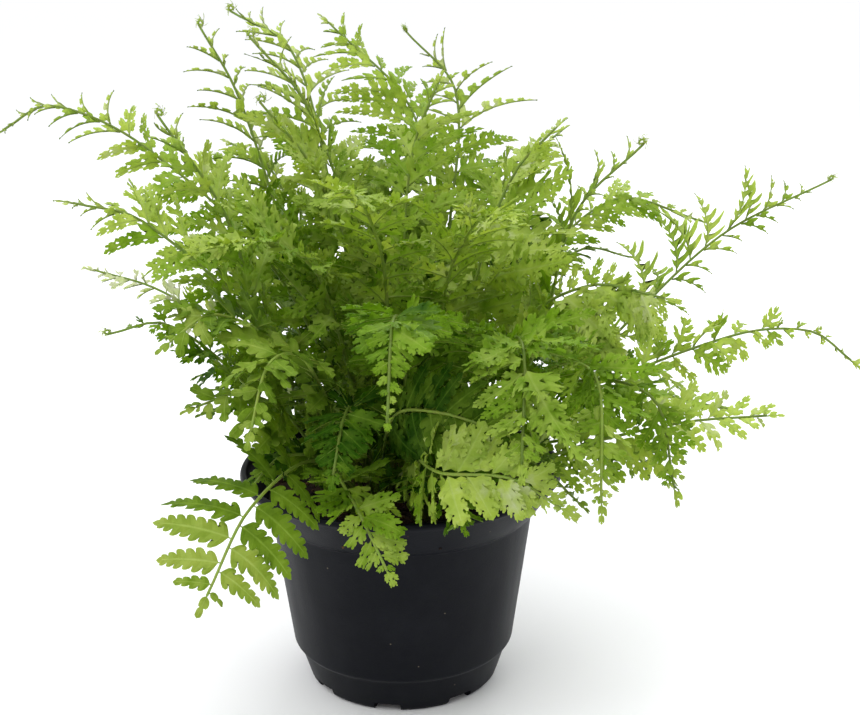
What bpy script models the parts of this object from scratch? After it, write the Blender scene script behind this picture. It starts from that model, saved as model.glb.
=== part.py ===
"""A finely cut Boston fern in its nursery pot.

The pot stands on z = 0 with its axis on Z. It holds a plug of potting mix, and the
fronds rise from plain square holes in the mix and arch outward in a fountain.
Lengths below are millimetres; the meshes are written in metres.
"""
import math
import random
from collections import namedtuple
from itertools import product

import bmesh
import bpy
from mathutils import Matrix, Vector
from mathutils.bvhtree import BVHTree

MM = 0.001
SEAT_GAP = 0.3

# Pot: a thin moulded shell with a flared collar, as (outer radius, height) from foot to lip
FOOT_RADIUS = 34.2
STEP_RADIUS, STEP_HEIGHT = 38.0, 13.0
SKIRT_RADIUS, SKIRT_HEIGHT = 39.8, 14.6
NECK_RADIUS, NECK_HEIGHT = 46.6, 64.0
LIP_RADIUS, POT_HEIGHT = 57.0, 79.0
LIP_THICKNESS = 2.2
LIP_BAND, LIP_EDGE, LIP_SWELL, LIP_ROUND = 2.6, 1.6, 0.8, 0.6
SHOULDER_OUT, SHOULDER_UP = 1.4, 0.9
FOOT_ROUND = 1.2
WALL = 1.3
FLOOR = 1.8
POT_SEGMENTS = 36
SMOOTH_ANGLE = 35.0
NOTCH_COUNT = 8
NOTCH_FIRST_BEARING = -99.0
NOTCH_ANGLE = 16.0
NOTCH_HEIGHT = 3.0
NOTCH_DEPTH = 5.0

# Potting mix: its surface is lumpy and dishes toward the middle
MIX_EDGE_HEIGHT = 67.5
MIX_DISH = 2.0
MIX_LUMP = 1.1
MIX_LUMPY_SHARE = 0.9
MIX_RINGS = 4
MIX_SEGMENTS = 18
MIX_SEED = 5
CLUMP_DEPTH = 12.0
CLUMP_WIDTH = 7.8

# Where the fronds stand: rings of clumps as (radius, how many fronds at most)
CROWN_RINGS = ((9.5, 16), (22.5, 100))
CROWN_RADIUS = 27.0
CLUMP_SEATS = 4
SEAT_SPREAD = 1.9

# Ribs: square tubes that thin toward the tip, and stand plumb up to the collar
STALK_HALF, RIB_TIP_HALF = 0.65, 0.42
QUAD = ((1, 1), (-1, 1), (-1, -1), (1, -1))
COLLAR = CLUMP_DEPTH + 3
COLLAR_LEAN = 0.4
CURVE_STEPS = 14
DIRECTION_REACH = 1.5
ROLL_OVER = 0.5
CROZIER_RADIUS, CROZIER_TURN, CROZIER_RINGS = 2.4, 380.0, 6
CROZIER_CLOSE, CROZIER_THIN = 0.62, 0.2

# Leaflets: pairs close up toward the tip, and the longest stand low on the leafy stretch
PITCH_EASE = 1.18
LEAF_HALF = 0.35
FOOT_SHARE, FOOT_GAIN = 0.62, 1.5
TAPER_POWER, TAPER_ROUND = 2.4, 0.8
LEAST_LENGTH = 1.2
BASE_SWEEP, TIP_SWEEP = 14.0, 42.0
DROOP = 0.16
TIP_POINT = 4.0

# Free edges of a leaflet, as shares of its half width and of its length
LEAFLET_GAP = 0.13
SMALL_LEAFLET = 7.5
SMALL_EDGE = ((0, 1.0),)
PLAIN_EDGE = ((-1, 0.45), (0.1, 1.0), (1, 0.5))
LOBED_EDGE = ((-1, 0.42), (-0.42, 0.55), (0.1, 1.0), (0.45, 0.6), (1, 0.46))

# Ways to clear a neighbour, tried in this order
TURNS = (0, 2.5, -2.5, 5, -5, 7.5, -7.5, 10, -10, 14, -14, 18, -18, 23, -23)
RISES = (0, 5, -5, 9)
LIFTS = (0, 12, -12, 24, -24, 36, -36, 50, -50)
SHARES = (1.0, 0.78, 0.56, 0.36)
STALK_CLEAR, LEAF_CLEAR = 0.25, 0.25
OWN_ROOT = 0.2
GUARD_SEGMENTS = 48
GUARD_LIP, GUARD_BAND, GUARD_INSIDE, GUARD_NECK = 0.5, 2.0, 1.2, 3.0

# way: points after the seat; width: longest leaflet; roll: turn about its own rib in degrees;
# bare: share of the length that is stalk; pairs: leaflet pairs; lobed: leaflets with a cut edge
Frond = namedtuple("Frond", "way width roll bare pairs lobed crozier")


def new_frond(way, width=20, roll=0, bare=0.34, pairs=8, lobed=False, crozier=False):
    return Frond([Vector(p) for p in way], width, roll, bare, pairs, lobed, crozier)


# The fronds that face the front, chosen one by one
SHOWN = [
    # long ones that reach far out to the left and right
    new_frond([(-42, 8, 146), (-87, 14, 190), (-118, 14, 204), (-134, 12, 196)], 19, -40, 0.34, 10),
    new_frond([(72, 12, 118), (114, 24, 155), (154, 30, 174)], 18, 40, 0.34, 10, crozier=True),
    new_frond([(62, -6, 104), (112, -12, 128), (138, -14, 130), (152, -15, 120)], 19, 45, 0.32, 10),
    new_frond([(-48, -24, 138), (-80, -30, 172), (-101, -31, 178)], 20, -40, 0.32, 8),
    new_frond([(48, 32, 138), (80, 52, 164), (115, 60, 154)], 19, 35, 0.32, 9),
    # upright ones that lean back, seen face on
    new_frond([(-42, 26, 160), (-58, 40, 206), (-71, 45, 229)], 20, 0, 0.32, 9, crozier=True),
    new_frond([(-25, 40, 170), (-40, 62, 219), (-63, 70, 233)], 21, 0, 0.32, 9, crozier=True),
    new_frond([(-14, 10, 150), (-31, 17, 203), (-50, 20, 226)], 19, 0, 0.32, 8, crozier=True),
    new_frond([(-16, -2, 150), (-28, -1, 184), (-45, 0, 206)], 19, 0, 0.34, 8, crozier=True),
    new_frond([(12, 46, 150), (4, 74, 196), (-28, 90, 228)], 21, 0, 0.32, 9),
    new_frond([(18, 42, 155), (21, 68, 203), (2, 80, 225)], 20, 0, 0.32, 9, crozier=True),
    new_frond([(36, 62, 140), (46, 86, 170), (64, 100, 184)], 20, 0, 0.32, 8),
    new_frond([(48, 0, 122), (60, 0, 168), (82, 0, 191)], 19, 25, 0.32, 8, crozier=True),
    new_frond([(-46, -12, 135), (-57, -12, 172), (-77, -10, 203)], 20, -25, 0.32, 9, crozier=True),
    # low and middle ones at the sides
    new_frond([(-60, 34, 114), (-92, 50, 131), (-119, 60, 137)], 19, -20, 0.34, 8),
    new_frond([(-50, -17, 112), (-76, -21, 136), (-95, -22, 133)], 20, -35, 0.32, 7, crozier=True),
    new_frond([(52, -28, 92), (90, -41, 107), (117, -46, 111)], 19, 35, 0.34, 8),
    new_frond([(54, 20, 88), (90, 20, 97), (119, 15, 93)], 18, 15, 0.34, 7),
    # front ones that hang toward the viewer
    new_frond([(46, -36, 122), (60, -64, 130), (60, -86, 98)], 22, 20, 0.3, 8, lobed=True),
    new_frond([(56, -28, 116), (80, -48, 118), (86, -60, 92)], 21, 25, 0.32, 7, lobed=True),
    new_frond([(32, -34, 128), (38, -66, 140), (36, -96, 114)], 23, 10, 0.3, 8, lobed=True),
    new_frond([(2, -44, 136), (0, -84, 152), (-1, -112, 132)], 24, 0, 0.3, 8, lobed=True),
    new_frond([(4, -36, 94), (14, -74, 103), (34, -84, 105), (48, -87, 97)], 23, 25, 0.3, 7, lobed=True),
    new_frond([(-27, -32, 92), (-45, -66, 89), (-56, -87, 70)], 26, -35, 0.32, 8, lobed=True),
    new_frond([(-20, -38, 90), (-11, -68, 87), (-3, -79, 74)], 18, 0, 0.36, 6, lobed=True),
    new_frond([(-28, -42, 128), (-37, -68, 136), (-41, -86, 121)], 22, -10, 0.3, 7, lobed=True),
    new_frond([(-38, -32, 130), (-56, -48, 146), (-68, -58, 140)], 21, -20, 0.3, 7, lobed=True),
    new_frond([(-36, -24, 104), (-50, -40, 118), (-63, -48, 116)], 20, -20, 0.3, 6),
    new_frond([(-2, -38, 108), (14, -62, 118), (34, -72, 114)], 22, 30, 0.3, 6, lobed=True),
    # low ones that spill over the lip
    new_frond([(-24, -28, 90), (-36, -44, 97), (-43, -56, 92)], 16, -10, 0.26, 5),
    new_frond([(26, -26, 88), (44, -46, 95), (56, -60, 88)], 18, 15, 0.26, 5),
    new_frond([(38, -12, 86), (64, -22, 95), (88, -28, 86)], 18, 15, 0.26, 6),
    new_frond([(-38, -2, 90), (-54, -5, 102), (-66, -8, 101)], 17, -15, 0.28, 5),
    new_frond([(10, -32, 86), (16, -56, 92), (20, -72, 86)], 17, 0, 0.26, 5, lobed=True),
    # inner ones that fill the heart of the plant
    new_frond([(-4, -16, 150), (-10, -36, 178), (-14, -60, 186)], 21, 0, 0.32, 7, lobed=True),
    new_frond([(16, -14, 146), (26, -34, 172), (34, -56, 176)], 21, 10, 0.32, 7, lobed=True),
    new_frond([(28, 6, 150), (40, 12, 180), (54, 14, 195)], 19, 20, 0.32, 7),
    new_frond([(2, 16, 160), (6, 24, 190), (14, 30, 209)], 19, 0, 0.32, 7),
    new_frond([(-24, -20, 148), (-38, -36, 166), (-54, -48, 167)], 21, -15, 0.32, 7, lobed=True),
    new_frond([(40, -16, 132), (62, -30, 150), (84, -40, 148)], 20, 25, 0.32, 7),
    new_frond([(-14, -32, 108), (-16, -60, 116), (-18, -82, 106)], 20, 0, 0.3, 6, lobed=True),
]

# The fronds round the back, by tier: how many, reach, height of the tip, rise at mid way
BACK_TIERS = ((6, 108.0, 94.0, 106.0), (5, 118.0, 144.0, 140.0), (3, 84.0, 180.0, 156.0))
BACK_FROM, BACK_TO = 24.0, 158.0
BACK_SEED = 11
BACK_SWING, BACK_LIFT, BACK_ROLL = 4.0, 6.0, 10.0
BACK_STRETCH = (0.92, 1.08)
NEAR_REACH, NEAR_RISE = 0.42, 0.86
FAR_REACH, FAR_RISE = 0.74, 0.52
BACK_WIDTH, BACK_BARE, BACK_PAIRS = 20.0, 0.3, 7


def back_fronds():
    """Fronds spread evenly over the back, each tier in the gaps of the last."""
    draw = random.Random(BACK_SEED)
    made = []
    for count, reach, tip_height, mid_height in BACK_TIERS:
        for k in range(count):
            share = (k + 0.5) / count
            swing = draw.uniform(-BACK_SWING, BACK_SWING)
            toward = math.radians(BACK_FROM + (BACK_TO - BACK_FROM) * share + swing)
            far = reach * draw.uniform(*BACK_STRETCH)
            high = tip_height + draw.uniform(-BACK_LIFT, BACK_LIFT)
            out = Vector((math.cos(toward), math.sin(toward), 0))
            way = [
                out * far * NEAR_REACH + Vector((0, 0, mid_height * NEAR_RISE)),
                out * far * FAR_REACH + Vector((0, 0, (mid_height + high) * FAR_RISE)),
                out * far + Vector((0, 0, high)),
            ]
            roll = draw.uniform(-BACK_ROLL, BACK_ROLL)
            made.append(new_frond(way, BACK_WIDTH, roll, BACK_BARE, BACK_PAIRS))
    return made


def clear_scene():
    for thing in list(bpy.data.objects):
        bpy.data.objects.remove(thing, do_unlink=True)


def make_material(name, colour, roughness, metallic=0.0):
    material = bpy.data.materials.new(name)
    material.use_nodes = True
    shader = material.node_tree.nodes["Principled BSDF"]
    shader.inputs["Base Color"].default_value = (*colour, 1.0)
    shader.inputs["Roughness"].default_value = roughness
    shader.inputs["Metallic"].default_value = metallic
    material.diffuse_color = (*colour, 1.0)
    return material


def mesh_object(name, verts, faces, material, smooth_angle=None):
    """A closed solid from vertices in millimetres, with its faces turned outward."""
    work = bmesh.new()
    made = [work.verts.new(Vector(v) * MM) for v in verts]
    for face in faces:
        work.faces.new([made[i] for i in face])
    bmesh.ops.recalc_face_normals(work, faces=work.faces)
    mesh = bpy.data.meshes.new(name)
    work.to_mesh(mesh)
    work.free()
    if smooth_angle:
        mesh.shade_smooth()
        mesh.set_sharp_from_angle(angle=math.radians(smooth_angle))
    mesh.materials.append(material)
    thing = bpy.data.objects.new(name, mesh)
    bpy.context.scene.collection.objects.link(thing)
    return thing


def turned(name, profile, segments, material, smooth_angle=None):
    """A solid of revolution: profile is (radius, height), and a radius of 0 closes it."""
    verts, rows, faces = [], [], []
    for radius, height in profile:
        if radius == 0:
            rows.append([len(verts)] * segments)
            verts.append((0, 0, height))
            continue
        rows.append([len(verts) + k for k in range(segments)])
        for k in range(segments):
            angle = 2 * math.pi * k / segments
            verts.append((radius * math.cos(angle), radius * math.sin(angle), height))
    for low, high in zip(rows, rows[1:]):
        for k in range(segments):
            ring = [low[k], low[(k + 1) % segments], high[(k + 1) % segments], high[k]]
            faces.append(list(dict.fromkeys(ring)))
    return mesh_object(name, verts, faces, material, smooth_angle)


def cut(thing, cutters):
    """Cuts each cutter out of a solid, applies the cuts and removes the cutters."""
    for cutter in cutters:
        cutter.hide_render = True
        cutter.display_type = "WIRE"
        cut_one = thing.modifiers.new(cutter.name, "BOOLEAN")
        cut_one.operation = "DIFFERENCE"
        cut_one.object = cutter
    view = bpy.context.evaluated_depsgraph_get()
    mesh = bpy.data.meshes.new_from_object(thing.evaluated_get(view))
    thing.modifiers.clear()
    thing.data = mesh
    for cutter in cutters:
        bpy.data.objects.remove(cutter, do_unlink=True)


def pot_inside(height):
    """The inner radius of the pot's wall at a height."""
    outline = [(FOOT_RADIUS, 0), (STEP_RADIUS, STEP_HEIGHT), (SKIRT_RADIUS, SKIRT_HEIGHT)]
    outline += [(NECK_RADIUS, NECK_HEIGHT), (LIP_RADIUS, POT_HEIGHT)]
    for (r_low, z_low), (r_high, z_high) in zip(outline, outline[1:]):
        if height <= z_high:
            return r_low + (r_high - r_low) * (height - z_low) / (z_high - z_low) - WALL
    return LIP_RADIUS - LIP_THICKNESS


def make_pot(material):
    profile = [
        (0, 0),
        (FOOT_RADIUS - FOOT_ROUND, 0),
        (FOOT_RADIUS, FOOT_ROUND),
        (STEP_RADIUS, STEP_HEIGHT),
        (SKIRT_RADIUS, SKIRT_HEIGHT),
        (NECK_RADIUS, NECK_HEIGHT),
        (NECK_RADIUS + SHOULDER_OUT, NECK_HEIGHT + SHOULDER_UP),
        (LIP_RADIUS - LIP_SWELL, POT_HEIGHT - LIP_BAND),
        (LIP_RADIUS, POT_HEIGHT - LIP_EDGE),
        (LIP_RADIUS - LIP_ROUND, POT_HEIGHT),
        (LIP_RADIUS - LIP_THICKNESS, POT_HEIGHT),
        (pot_inside(POT_HEIGHT - LIP_THICKNESS), POT_HEIGHT - LIP_THICKNESS),
        (pot_inside(NECK_HEIGHT), NECK_HEIGHT),
        (pot_inside(SKIRT_HEIGHT), SKIRT_HEIGHT),
        (pot_inside(STEP_HEIGHT), STEP_HEIGHT),
        (pot_inside(FLOOR), FLOOR),
        (0, FLOOR),
    ]
    pot = turned("pot", profile, POT_SEGMENTS, material, SMOOTH_ANGLE)
    cutters = []
    half = math.radians(NOTCH_ANGLE / 2)
    inner, outer = FOOT_RADIUS - NOTCH_DEPTH, FOOT_RADIUS + NOTCH_DEPTH
    for k in range(NOTCH_COUNT):
        middle = math.radians(NOTCH_FIRST_BEARING + 360 / NOTCH_COUNT * k)
        corners = []
        for z in (-NOTCH_HEIGHT, NOTCH_HEIGHT):
            for radius, angle in ((inner, -half), (outer, -half), (outer, half), (inner, half)):
                turn = middle + angle
                corners.append((radius * math.cos(turn), radius * math.sin(turn), z))
        cutters.append(mesh_object(f"notch_{k}", corners, box_faces(), material))
    cut(pot, cutters)
    return pot


def box_faces():
    return [(0, 1, 2, 3), (4, 5, 6, 7), (0, 1, 5, 4), (1, 2, 6, 5), (2, 3, 7, 6), (3, 0, 4, 7)]


def make_mix(material, clumps):
    """The plug of potting mix, with a square hole for each clump of stalks."""
    draw = random.Random(MIX_SEED)
    bottom = FLOOR + SEAT_GAP
    side = [bottom, STEP_HEIGHT, SKIRT_HEIGHT, NECK_HEIGHT]
    profile = [(0, bottom)] + [(pot_inside(z) - SEAT_GAP, z) for z in side]
    edge = pot_inside(MIX_EDGE_HEIGHT) - SEAT_GAP
    for k in range(MIX_RINGS):
        share = 1 - k / MIX_RINGS
        profile.append((edge * share, MIX_EDGE_HEIGHT - MIX_DISH * (1 - share * share)))
    profile.append((0, MIX_EDGE_HEIGHT - MIX_DISH))
    mix = turned("potting_mix", profile, MIX_SEGMENTS, material)
    for vert in mix.data.vertices:
        inside = math.hypot(vert.co.x, vert.co.y) < MIX_LUMPY_SHARE * edge * MM
        if vert.co.z > NECK_HEIGHT * MM and inside:
            vert.co.z += draw.uniform(-MIX_LUMP, MIX_LUMP) * MM
    cutters = []
    for k, centre in enumerate(clumps):
        out = centre.normalized() * CLUMP_WIDTH / 2
        across = Vector((-out.y, out.x))
        corners = []
        for z in (MIX_EDGE_HEIGHT - MIX_DISH - CLUMP_DEPTH, POT_HEIGHT):
            for a, b in ((-1, -1), (1, -1), (1, 1), (-1, 1)):
                spot = centre + across * a + out * b
                corners.append((spot.x, spot.y, z))
        cutters.append(mesh_object(f"hole_{k}", corners, box_faces(), material))
    cut(mix, cutters)
    return mix


class Path:
    """A smooth curve through points, measured by its length."""

    def __init__(self, points):
        times = [0.0]
        for a, b in zip(points, points[1:]):
            times.append(times[-1] + (b - a).length)
        slopes = []
        for k in range(len(points)):
            low, high = max(k - 1, 0), min(k + 1, len(points) - 1)
            slopes.append((points[high] - points[low]) / (times[high] - times[low]))
        self.points = [points[0]]
        for k in range(len(points) - 1):
            span = times[k + 1] - times[k]
            for j in range(1, CURVE_STEPS + 1):
                u = j / CURVE_STEPS
                self.points.append(
                    points[k] * (2 * u**3 - 3 * u**2 + 1)
                    + slopes[k] * span * (u**3 - 2 * u**2 + u)
                    + points[k + 1] * (3 * u**2 - 2 * u**3)
                    + slopes[k + 1] * span * (u**3 - u**2)
                )
        self.marks = [0.0]
        for a, b in zip(self.points, self.points[1:]):
            self.marks.append(self.marks[-1] + (b - a).length)
        self.length = self.marks[-1]

    def at(self, mark):
        mark = min(max(mark, 0.0), self.length)
        for k in range(len(self.marks) - 1):
            if mark <= self.marks[k + 1]:
                share = (mark - self.marks[k]) / (self.marks[k + 1] - self.marks[k])
                return self.points[k].lerp(self.points[k + 1], share)
        return self.points[-1]

    def along(self, mark):
        ahead, behind = self.at(mark + DIRECTION_REACH), self.at(mark - DIRECTION_REACH)
        return (ahead - behind).normalized()


def frame_at(path, mark, outward, roll):
    """Point, direction, side and upper face of the rib at a mark along its path."""
    along = path.along(mark)
    side = Vector((0, 0, 1)).cross(outward)
    side = (side - along * side.dot(along)).normalized()
    share = min(mark / path.length / ROLL_OVER, 1.0)
    side = Matrix.Rotation(math.radians(roll) * share, 3, along) @ side
    return path.at(mark), along, side, along.cross(side)


def leaflet_length(width, share):
    """Length of a leaflet at a share of the leafy stretch, from its foot to its tip."""
    foot = min(1.0, FOOT_SHARE + FOOT_GAIN * share)
    return width * foot * (1 - share**TAPER_POWER) ** TAPER_ROUND + LEAST_LENGTH


def rib_half(share):
    return STALK_HALF + (RIB_TIP_HALF - STALK_HALF) * share


def stations(frond, path):
    """Marks of the rings: the stalk's, and those between leaflet pairs."""
    bare = path.length * frond.bare
    stalk = [0.0, COLLAR, (COLLAR + bare) / 2]
    leafy = path.length - bare
    shares = [1 - (1 - k / frond.pairs) ** PITCH_EASE for k in range(frond.pairs + 1)]
    return stalk, [bare + leafy * share for share in shares]


def leaflet_outline(lobed, length, pitch, sweep):
    """Free corners of a leaflet as (forward, outward), from its near side to its far side."""
    half = pitch * (0.5 - LEAFLET_GAP)
    lean = math.tan(math.radians(sweep))
    if length < SMALL_LEAFLET:
        edge = SMALL_EDGE
    else:
        edge = LOBED_EDGE if lobed else PLAIN_EDGE
    return [(x * half + y * length * lean, y * length) for x, y in edge]


def fan(count):
    """Triangles over a leaflet with this many free corners between its two rib corners."""
    last = count + 1
    if count == 1:
        return [(0, 1, 2)]
    if count == 3:
        return [(0, 1, 3), (0, 3, last), (1, 2, 3)]
    return [(0, 1, 2), (0, 2, 4), (0, 4, last), (last, 4, 5), (2, 3, 4)]


def leaflet_points(frond, path, outward, marks, k, sign, lift, share_kept):
    """Middle surface of the free corners of leaflet k, and the blade's normal."""
    share = ((marks[k] + marks[k + 1]) / 2 - marks[0]) / (marks[-1] - marks[0])
    pitch = marks[k + 1] - marks[k]
    length = leaflet_length(frond.width, share) * share_kept
    sweep = BASE_SWEEP + (TIP_SWEEP - BASE_SWEEP) * share
    middle, along, side, face = frame_at(path, (marks[k] + marks[k + 1]) / 2, outward, frond.roll)
    angle = math.radians(lift)
    out = side * sign * math.cos(angle) + face * math.sin(angle)
    normal = along.cross(out) * sign
    half = rib_half(share)
    points = []
    for forward, reach in leaflet_outline(frond.lobed, length, pitch, sweep):
        sag = DROOP * reach * reach / max(length, 1)
        points.append(middle + along * forward + out * (half + reach) - normal * sag)
    return points, normal


def slab(low_foot, points, high_foot, normal, foot_half, half):
    """The tree of a leaflet's blade, from its two corners on the rib to its free corners."""
    corners = [low_foot] + points + [high_foot]
    halves = [foot_half] + [half] * len(points) + [foot_half]
    top = [p + normal * h for p, h in zip(corners, halves)]
    low = [p - normal * h for p, h in zip(corners, halves)]
    count = len(corners)
    tris = fan(count - 2)
    faces = list(tris) + [tuple(i + count for i in t) for t in tris]
    for k in range(count - 1):
        faces.append((k, k + 1, k + 1 + count, k + count))
    return BVHTree.FromPolygons(top + low, faces)


def tube_rings(frond, path, outward, marks, extra=0.0):
    """Four corners at each mark: upper left, upper right, lower right, lower left."""
    rings = []
    for mark in marks:
        middle, _, side, face = frame_at(path, mark, outward, frond.roll)
        half = rib_half(mark / path.length) + extra
        rings.append([middle + side * a * half + face * b * half for a, b in QUAD])
    return rings


def crozier_rings(frond, path, outward):
    """Rings of the young tip, which coils in over the frond's upper face."""
    middle, along, _, face = frame_at(path, path.length, outward, frond.roll)
    side = along.cross(face) * -1
    rings = []
    for k in range(1, CROZIER_RINGS + 1):
        share = k / CROZIER_RINGS
        turn = math.radians(CROZIER_TURN * share)
        radius = CROZIER_RADIUS * (1 - CROZIER_CLOSE * share)
        centre = middle + face * CROZIER_RADIUS
        spoke = along * math.sin(turn) - face * math.cos(turn)
        point = centre + spoke * radius
        half = rib_half(1.0) * (1 - CROZIER_THIN * share)
        rings.append([point + side * a * half - spoke * b * half for a, b in QUAD])
    return rings


def rings_tree(rings):
    verts = [p for ring in rings for p in ring]
    faces = [(0, 1, 2, 3)]
    for k in range(len(rings) - 1):
        for j in range(4):
            a, b = 4 * k + j, 4 * k + (j + 1) % 4
            faces.append((a, b, b + 4, a + 4))
    return BVHTree.FromPolygons(verts, faces)


def turn_way(way, degrees, rise):
    spin = Matrix.Rotation(math.radians(degrees), 3, "Z")
    return [spin @ p + Vector((0, 0, rise)) for p in way]


def bearing(point):
    return math.atan2(point.y, point.x)


def seat_fronds(fronds):
    """Gives each frond its seat, four to a clump, the steep ones nearer the middle."""
    steep = sorted(range(len(fronds)), key=lambda k: fronds[k].way[0].xy.length / fronds[k].way[0].z)
    seats, clumps = {}, []
    start = 0
    for radius, most in CROWN_RINGS:
        ring = sorted(steep[start : start + most], key=lambda k: bearing(fronds[k].way[0]))
        start += most
        groups = math.ceil(len(ring) / CLUMP_SEATS)
        for g in range(groups):
            members = ring[g * len(ring) // groups : (g + 1) * len(ring) // groups]
            where = sum((fronds[k].way[0].xy.normalized() for k in members), Vector((0, 0)))
            out = where.normalized()
            across = Vector((-out.y, out.x))
            centre = out * radius
            clumps.append(centre)
            half = len(members) // 2
            for low, part in ((-1, members[:half]), (1, members[half:])):
                part = sorted(part, key=lambda k: fronds[k].way[0].xy.length / fronds[k].way[0].z)
                for j, k in enumerate(part):
                    deep = (-1, 1)[j] if len(part) == 2 else 0
                    seats[k] = centre + (across * low + out * deep) * SEAT_SPREAD
    return seats, clumps


def frond_path(frond, seat, degrees, rise):
    floor = MIX_EDGE_HEIGHT - MIX_DISH - CLUMP_DEPTH + SEAT_GAP
    way = turn_way(frond.way, degrees, rise)
    out = Vector((way[0].x, way[0].y, 0)).normalized()
    foot = Vector((seat.x, seat.y, floor))
    collar = foot + Vector((0, 0, COLLAR)) + out * COLLAR_LEAN
    path = Path([foot, collar] + way)
    outward = Vector((way[-1].x - foot.x, way[-1].y - foot.y, 0)).normalized()
    return path, outward


def touches(tree, others):
    return any(tree.overlap(other) for other in others)


def pot_tree():
    """The pot's wall and lip, a little thicker all round, for fronds to clear."""
    top, inside = POT_HEIGHT + GUARD_LIP, LIP_RADIUS - LIP_THICKNESS - GUARD_INSIDE
    outline = [(SKIRT_RADIUS, SKIRT_HEIGHT), (NECK_RADIUS, NECK_HEIGHT)]
    outline += [(LIP_RADIUS + GUARD_LIP, POT_HEIGHT - GUARD_BAND), (LIP_RADIUS, top)]
    outline += [(inside, top), (NECK_RADIUS - GUARD_NECK, NECK_HEIGHT)]
    return turned_tree(outline)


def mix_tree():
    """The surface of the mix, a little above its lumps, outside the clumps of stalks."""
    level = MIX_EDGE_HEIGHT + MIX_LUMP
    return turned_tree([(CROWN_RADIUS, level), (pot_inside(MIX_EDGE_HEIGHT), level)])


def turned_tree(outline):
    """An outline of (radius, height) turned about the pot's axis."""
    verts = []
    for radius, z in outline:
        for k in range(GUARD_SEGMENTS):
            angle = 2 * math.pi * k / GUARD_SEGMENTS
            verts.append(Vector((radius * math.cos(angle), radius * math.sin(angle), z)))
    faces = []
    for row in range(len(outline) - 1):
        for k in range(GUARD_SEGMENTS):
            a = row * GUARD_SEGMENTS + k
            b = row * GUARD_SEGMENTS + (k + 1) % GUARD_SEGMENTS
            faces.append((a, b, b + GUARD_SEGMENTS, a + GUARD_SEGMENTS))
    return BVHTree.FromPolygons(verts, faces)


def place_stalks(fronds, seats):
    """Turns each frond about the pot's axis until its rib clears the ribs before it."""
    paths, trees = [], []
    for number, frond in enumerate(fronds):
        for rise, degrees in product(RISES, TURNS):
            path, outward = frond_path(frond, seats[number], degrees, rise)
            stalk, leafy = stations(frond, path)
            rings = tube_rings(frond, path, outward, stalk + leafy, STALK_CLEAR)
            if frond.crozier:
                rings += crozier_rings(frond, path, outward)
            tree = rings_tree(rings)
            if not touches(tree, trees):
                break
        else:
            print("no clear way for frond", number + 1)
        paths.append((path, outward))
        trees.append(tree)
    return paths, trees


def place_leaflets(fronds, paths, ribs):
    """Picks a lift and a length for each leaflet that keep it clear of all that stands."""
    fixed = [pot_tree(), mix_tree()]
    grown, kept = [], {}
    for number, frond in enumerate(fronds):
        path, outward = paths[number]
        others = fixed + grown + [tree for k, tree in enumerate(ribs) if k != number]
        marks = stations(frond, path)[1]
        rib = STALK_HALF + LEAF_CLEAR
        own, pieces = [], []
        for k in range(frond.pairs):
            for sign in (1, -1):
                for share, lift in product(SHARES, LIFTS):
                    points, normal = leaflet_points(
                        frond, path, outward, marks, k, sign, lift, share
                    )
                    low, high = path.at(marks[k]), path.at(marks[k + 1])
                    body = slab(low, points, high, normal, rib, LEAF_HALF + LEAF_CLEAR)
                    heart = sum(points, Vector()) / len(points)
                    low, high = low.lerp(heart, OWN_ROOT), high.lerp(heart, OWN_ROOT)
                    blade = slab(low, points, high, normal, LEAF_HALF, LEAF_HALF)
                    if not touches(body, others) and not touches(blade, own):
                        kept[number, k, sign] = (lift, share)
                        pieces.append(body)
                        own.append(blade)
                        break
        grown += pieces
    return kept


def end_faces(frond, path, outward, verts, last):
    """Closes the tip: flat on a crozier, and a short pointed leaflet on the others."""
    if frond.crozier:
        return [(last, last + 1, last + 2, last + 3)]
    middle, along, _, face = frame_at(path, path.length, outward, frond.roll)
    point = middle + along * TIP_POINT
    high, low = len(verts), len(verts) + 1
    verts.append(point + face * LEAF_HALF)
    verts.append(point - face * LEAF_HALF)
    return [
        (last, last + 1, high),
        (last + 2, last + 3, low),
        (last + 1, last + 2, low, high),
        (last + 3, last, high, low),
    ]


def build_frond(number, frond, path, outward, kept, material):
    """One closed blade: a square rib, with each leaflet grown from the rib's side."""
    stalk, leafy = stations(frond, path)
    rings = tube_rings(frond, path, outward, stalk + leafy)
    if frond.crozier:
        rings += crozier_rings(frond, path, outward)
    verts = [p for ring in rings for p in ring]
    faces = [(3, 2, 1, 0)]
    first = len(stalk)
    for k in range(len(rings) - 1):
        low, high = 4 * k, 4 * (k + 1)
        faces.append((low, low + 1, high + 1, high))
        faces.append((low + 2, low + 3, high + 3, high + 2))
        for sign, top, bottom in ((1, 0, 3), (-1, 1, 2)):
            choice = kept.get((number, k - first, sign))
            if choice is None:
                faces.append((low + top, high + top, high + bottom, low + bottom))
                continue
            points, normal = leaflet_points(
                frond, path, outward, leafy, k - first, sign, choice[0], choice[1]
            )
            upper = [low + top]
            lower = [low + bottom]
            for point in points:
                upper.append(len(verts))
                verts.append(point + normal * LEAF_HALF)
                lower.append(len(verts))
                verts.append(point - normal * LEAF_HALF)
            upper.append(high + top)
            lower.append(high + bottom)
            for a, b, c in fan(len(points)):
                faces.append((upper[a], upper[b], upper[c]))
                faces.append((lower[c], lower[b], lower[a]))
            for j in range(len(upper) - 1):
                faces.append((upper[j], upper[j + 1], lower[j + 1]))
                faces.append((upper[j], lower[j + 1], lower[j]))
    last = len(rings) * 4 - 4
    faces += end_faces(frond, path, outward, verts, last)
    return mesh_object(f"frond_{number + 1:02d}", verts, faces, material)


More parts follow.
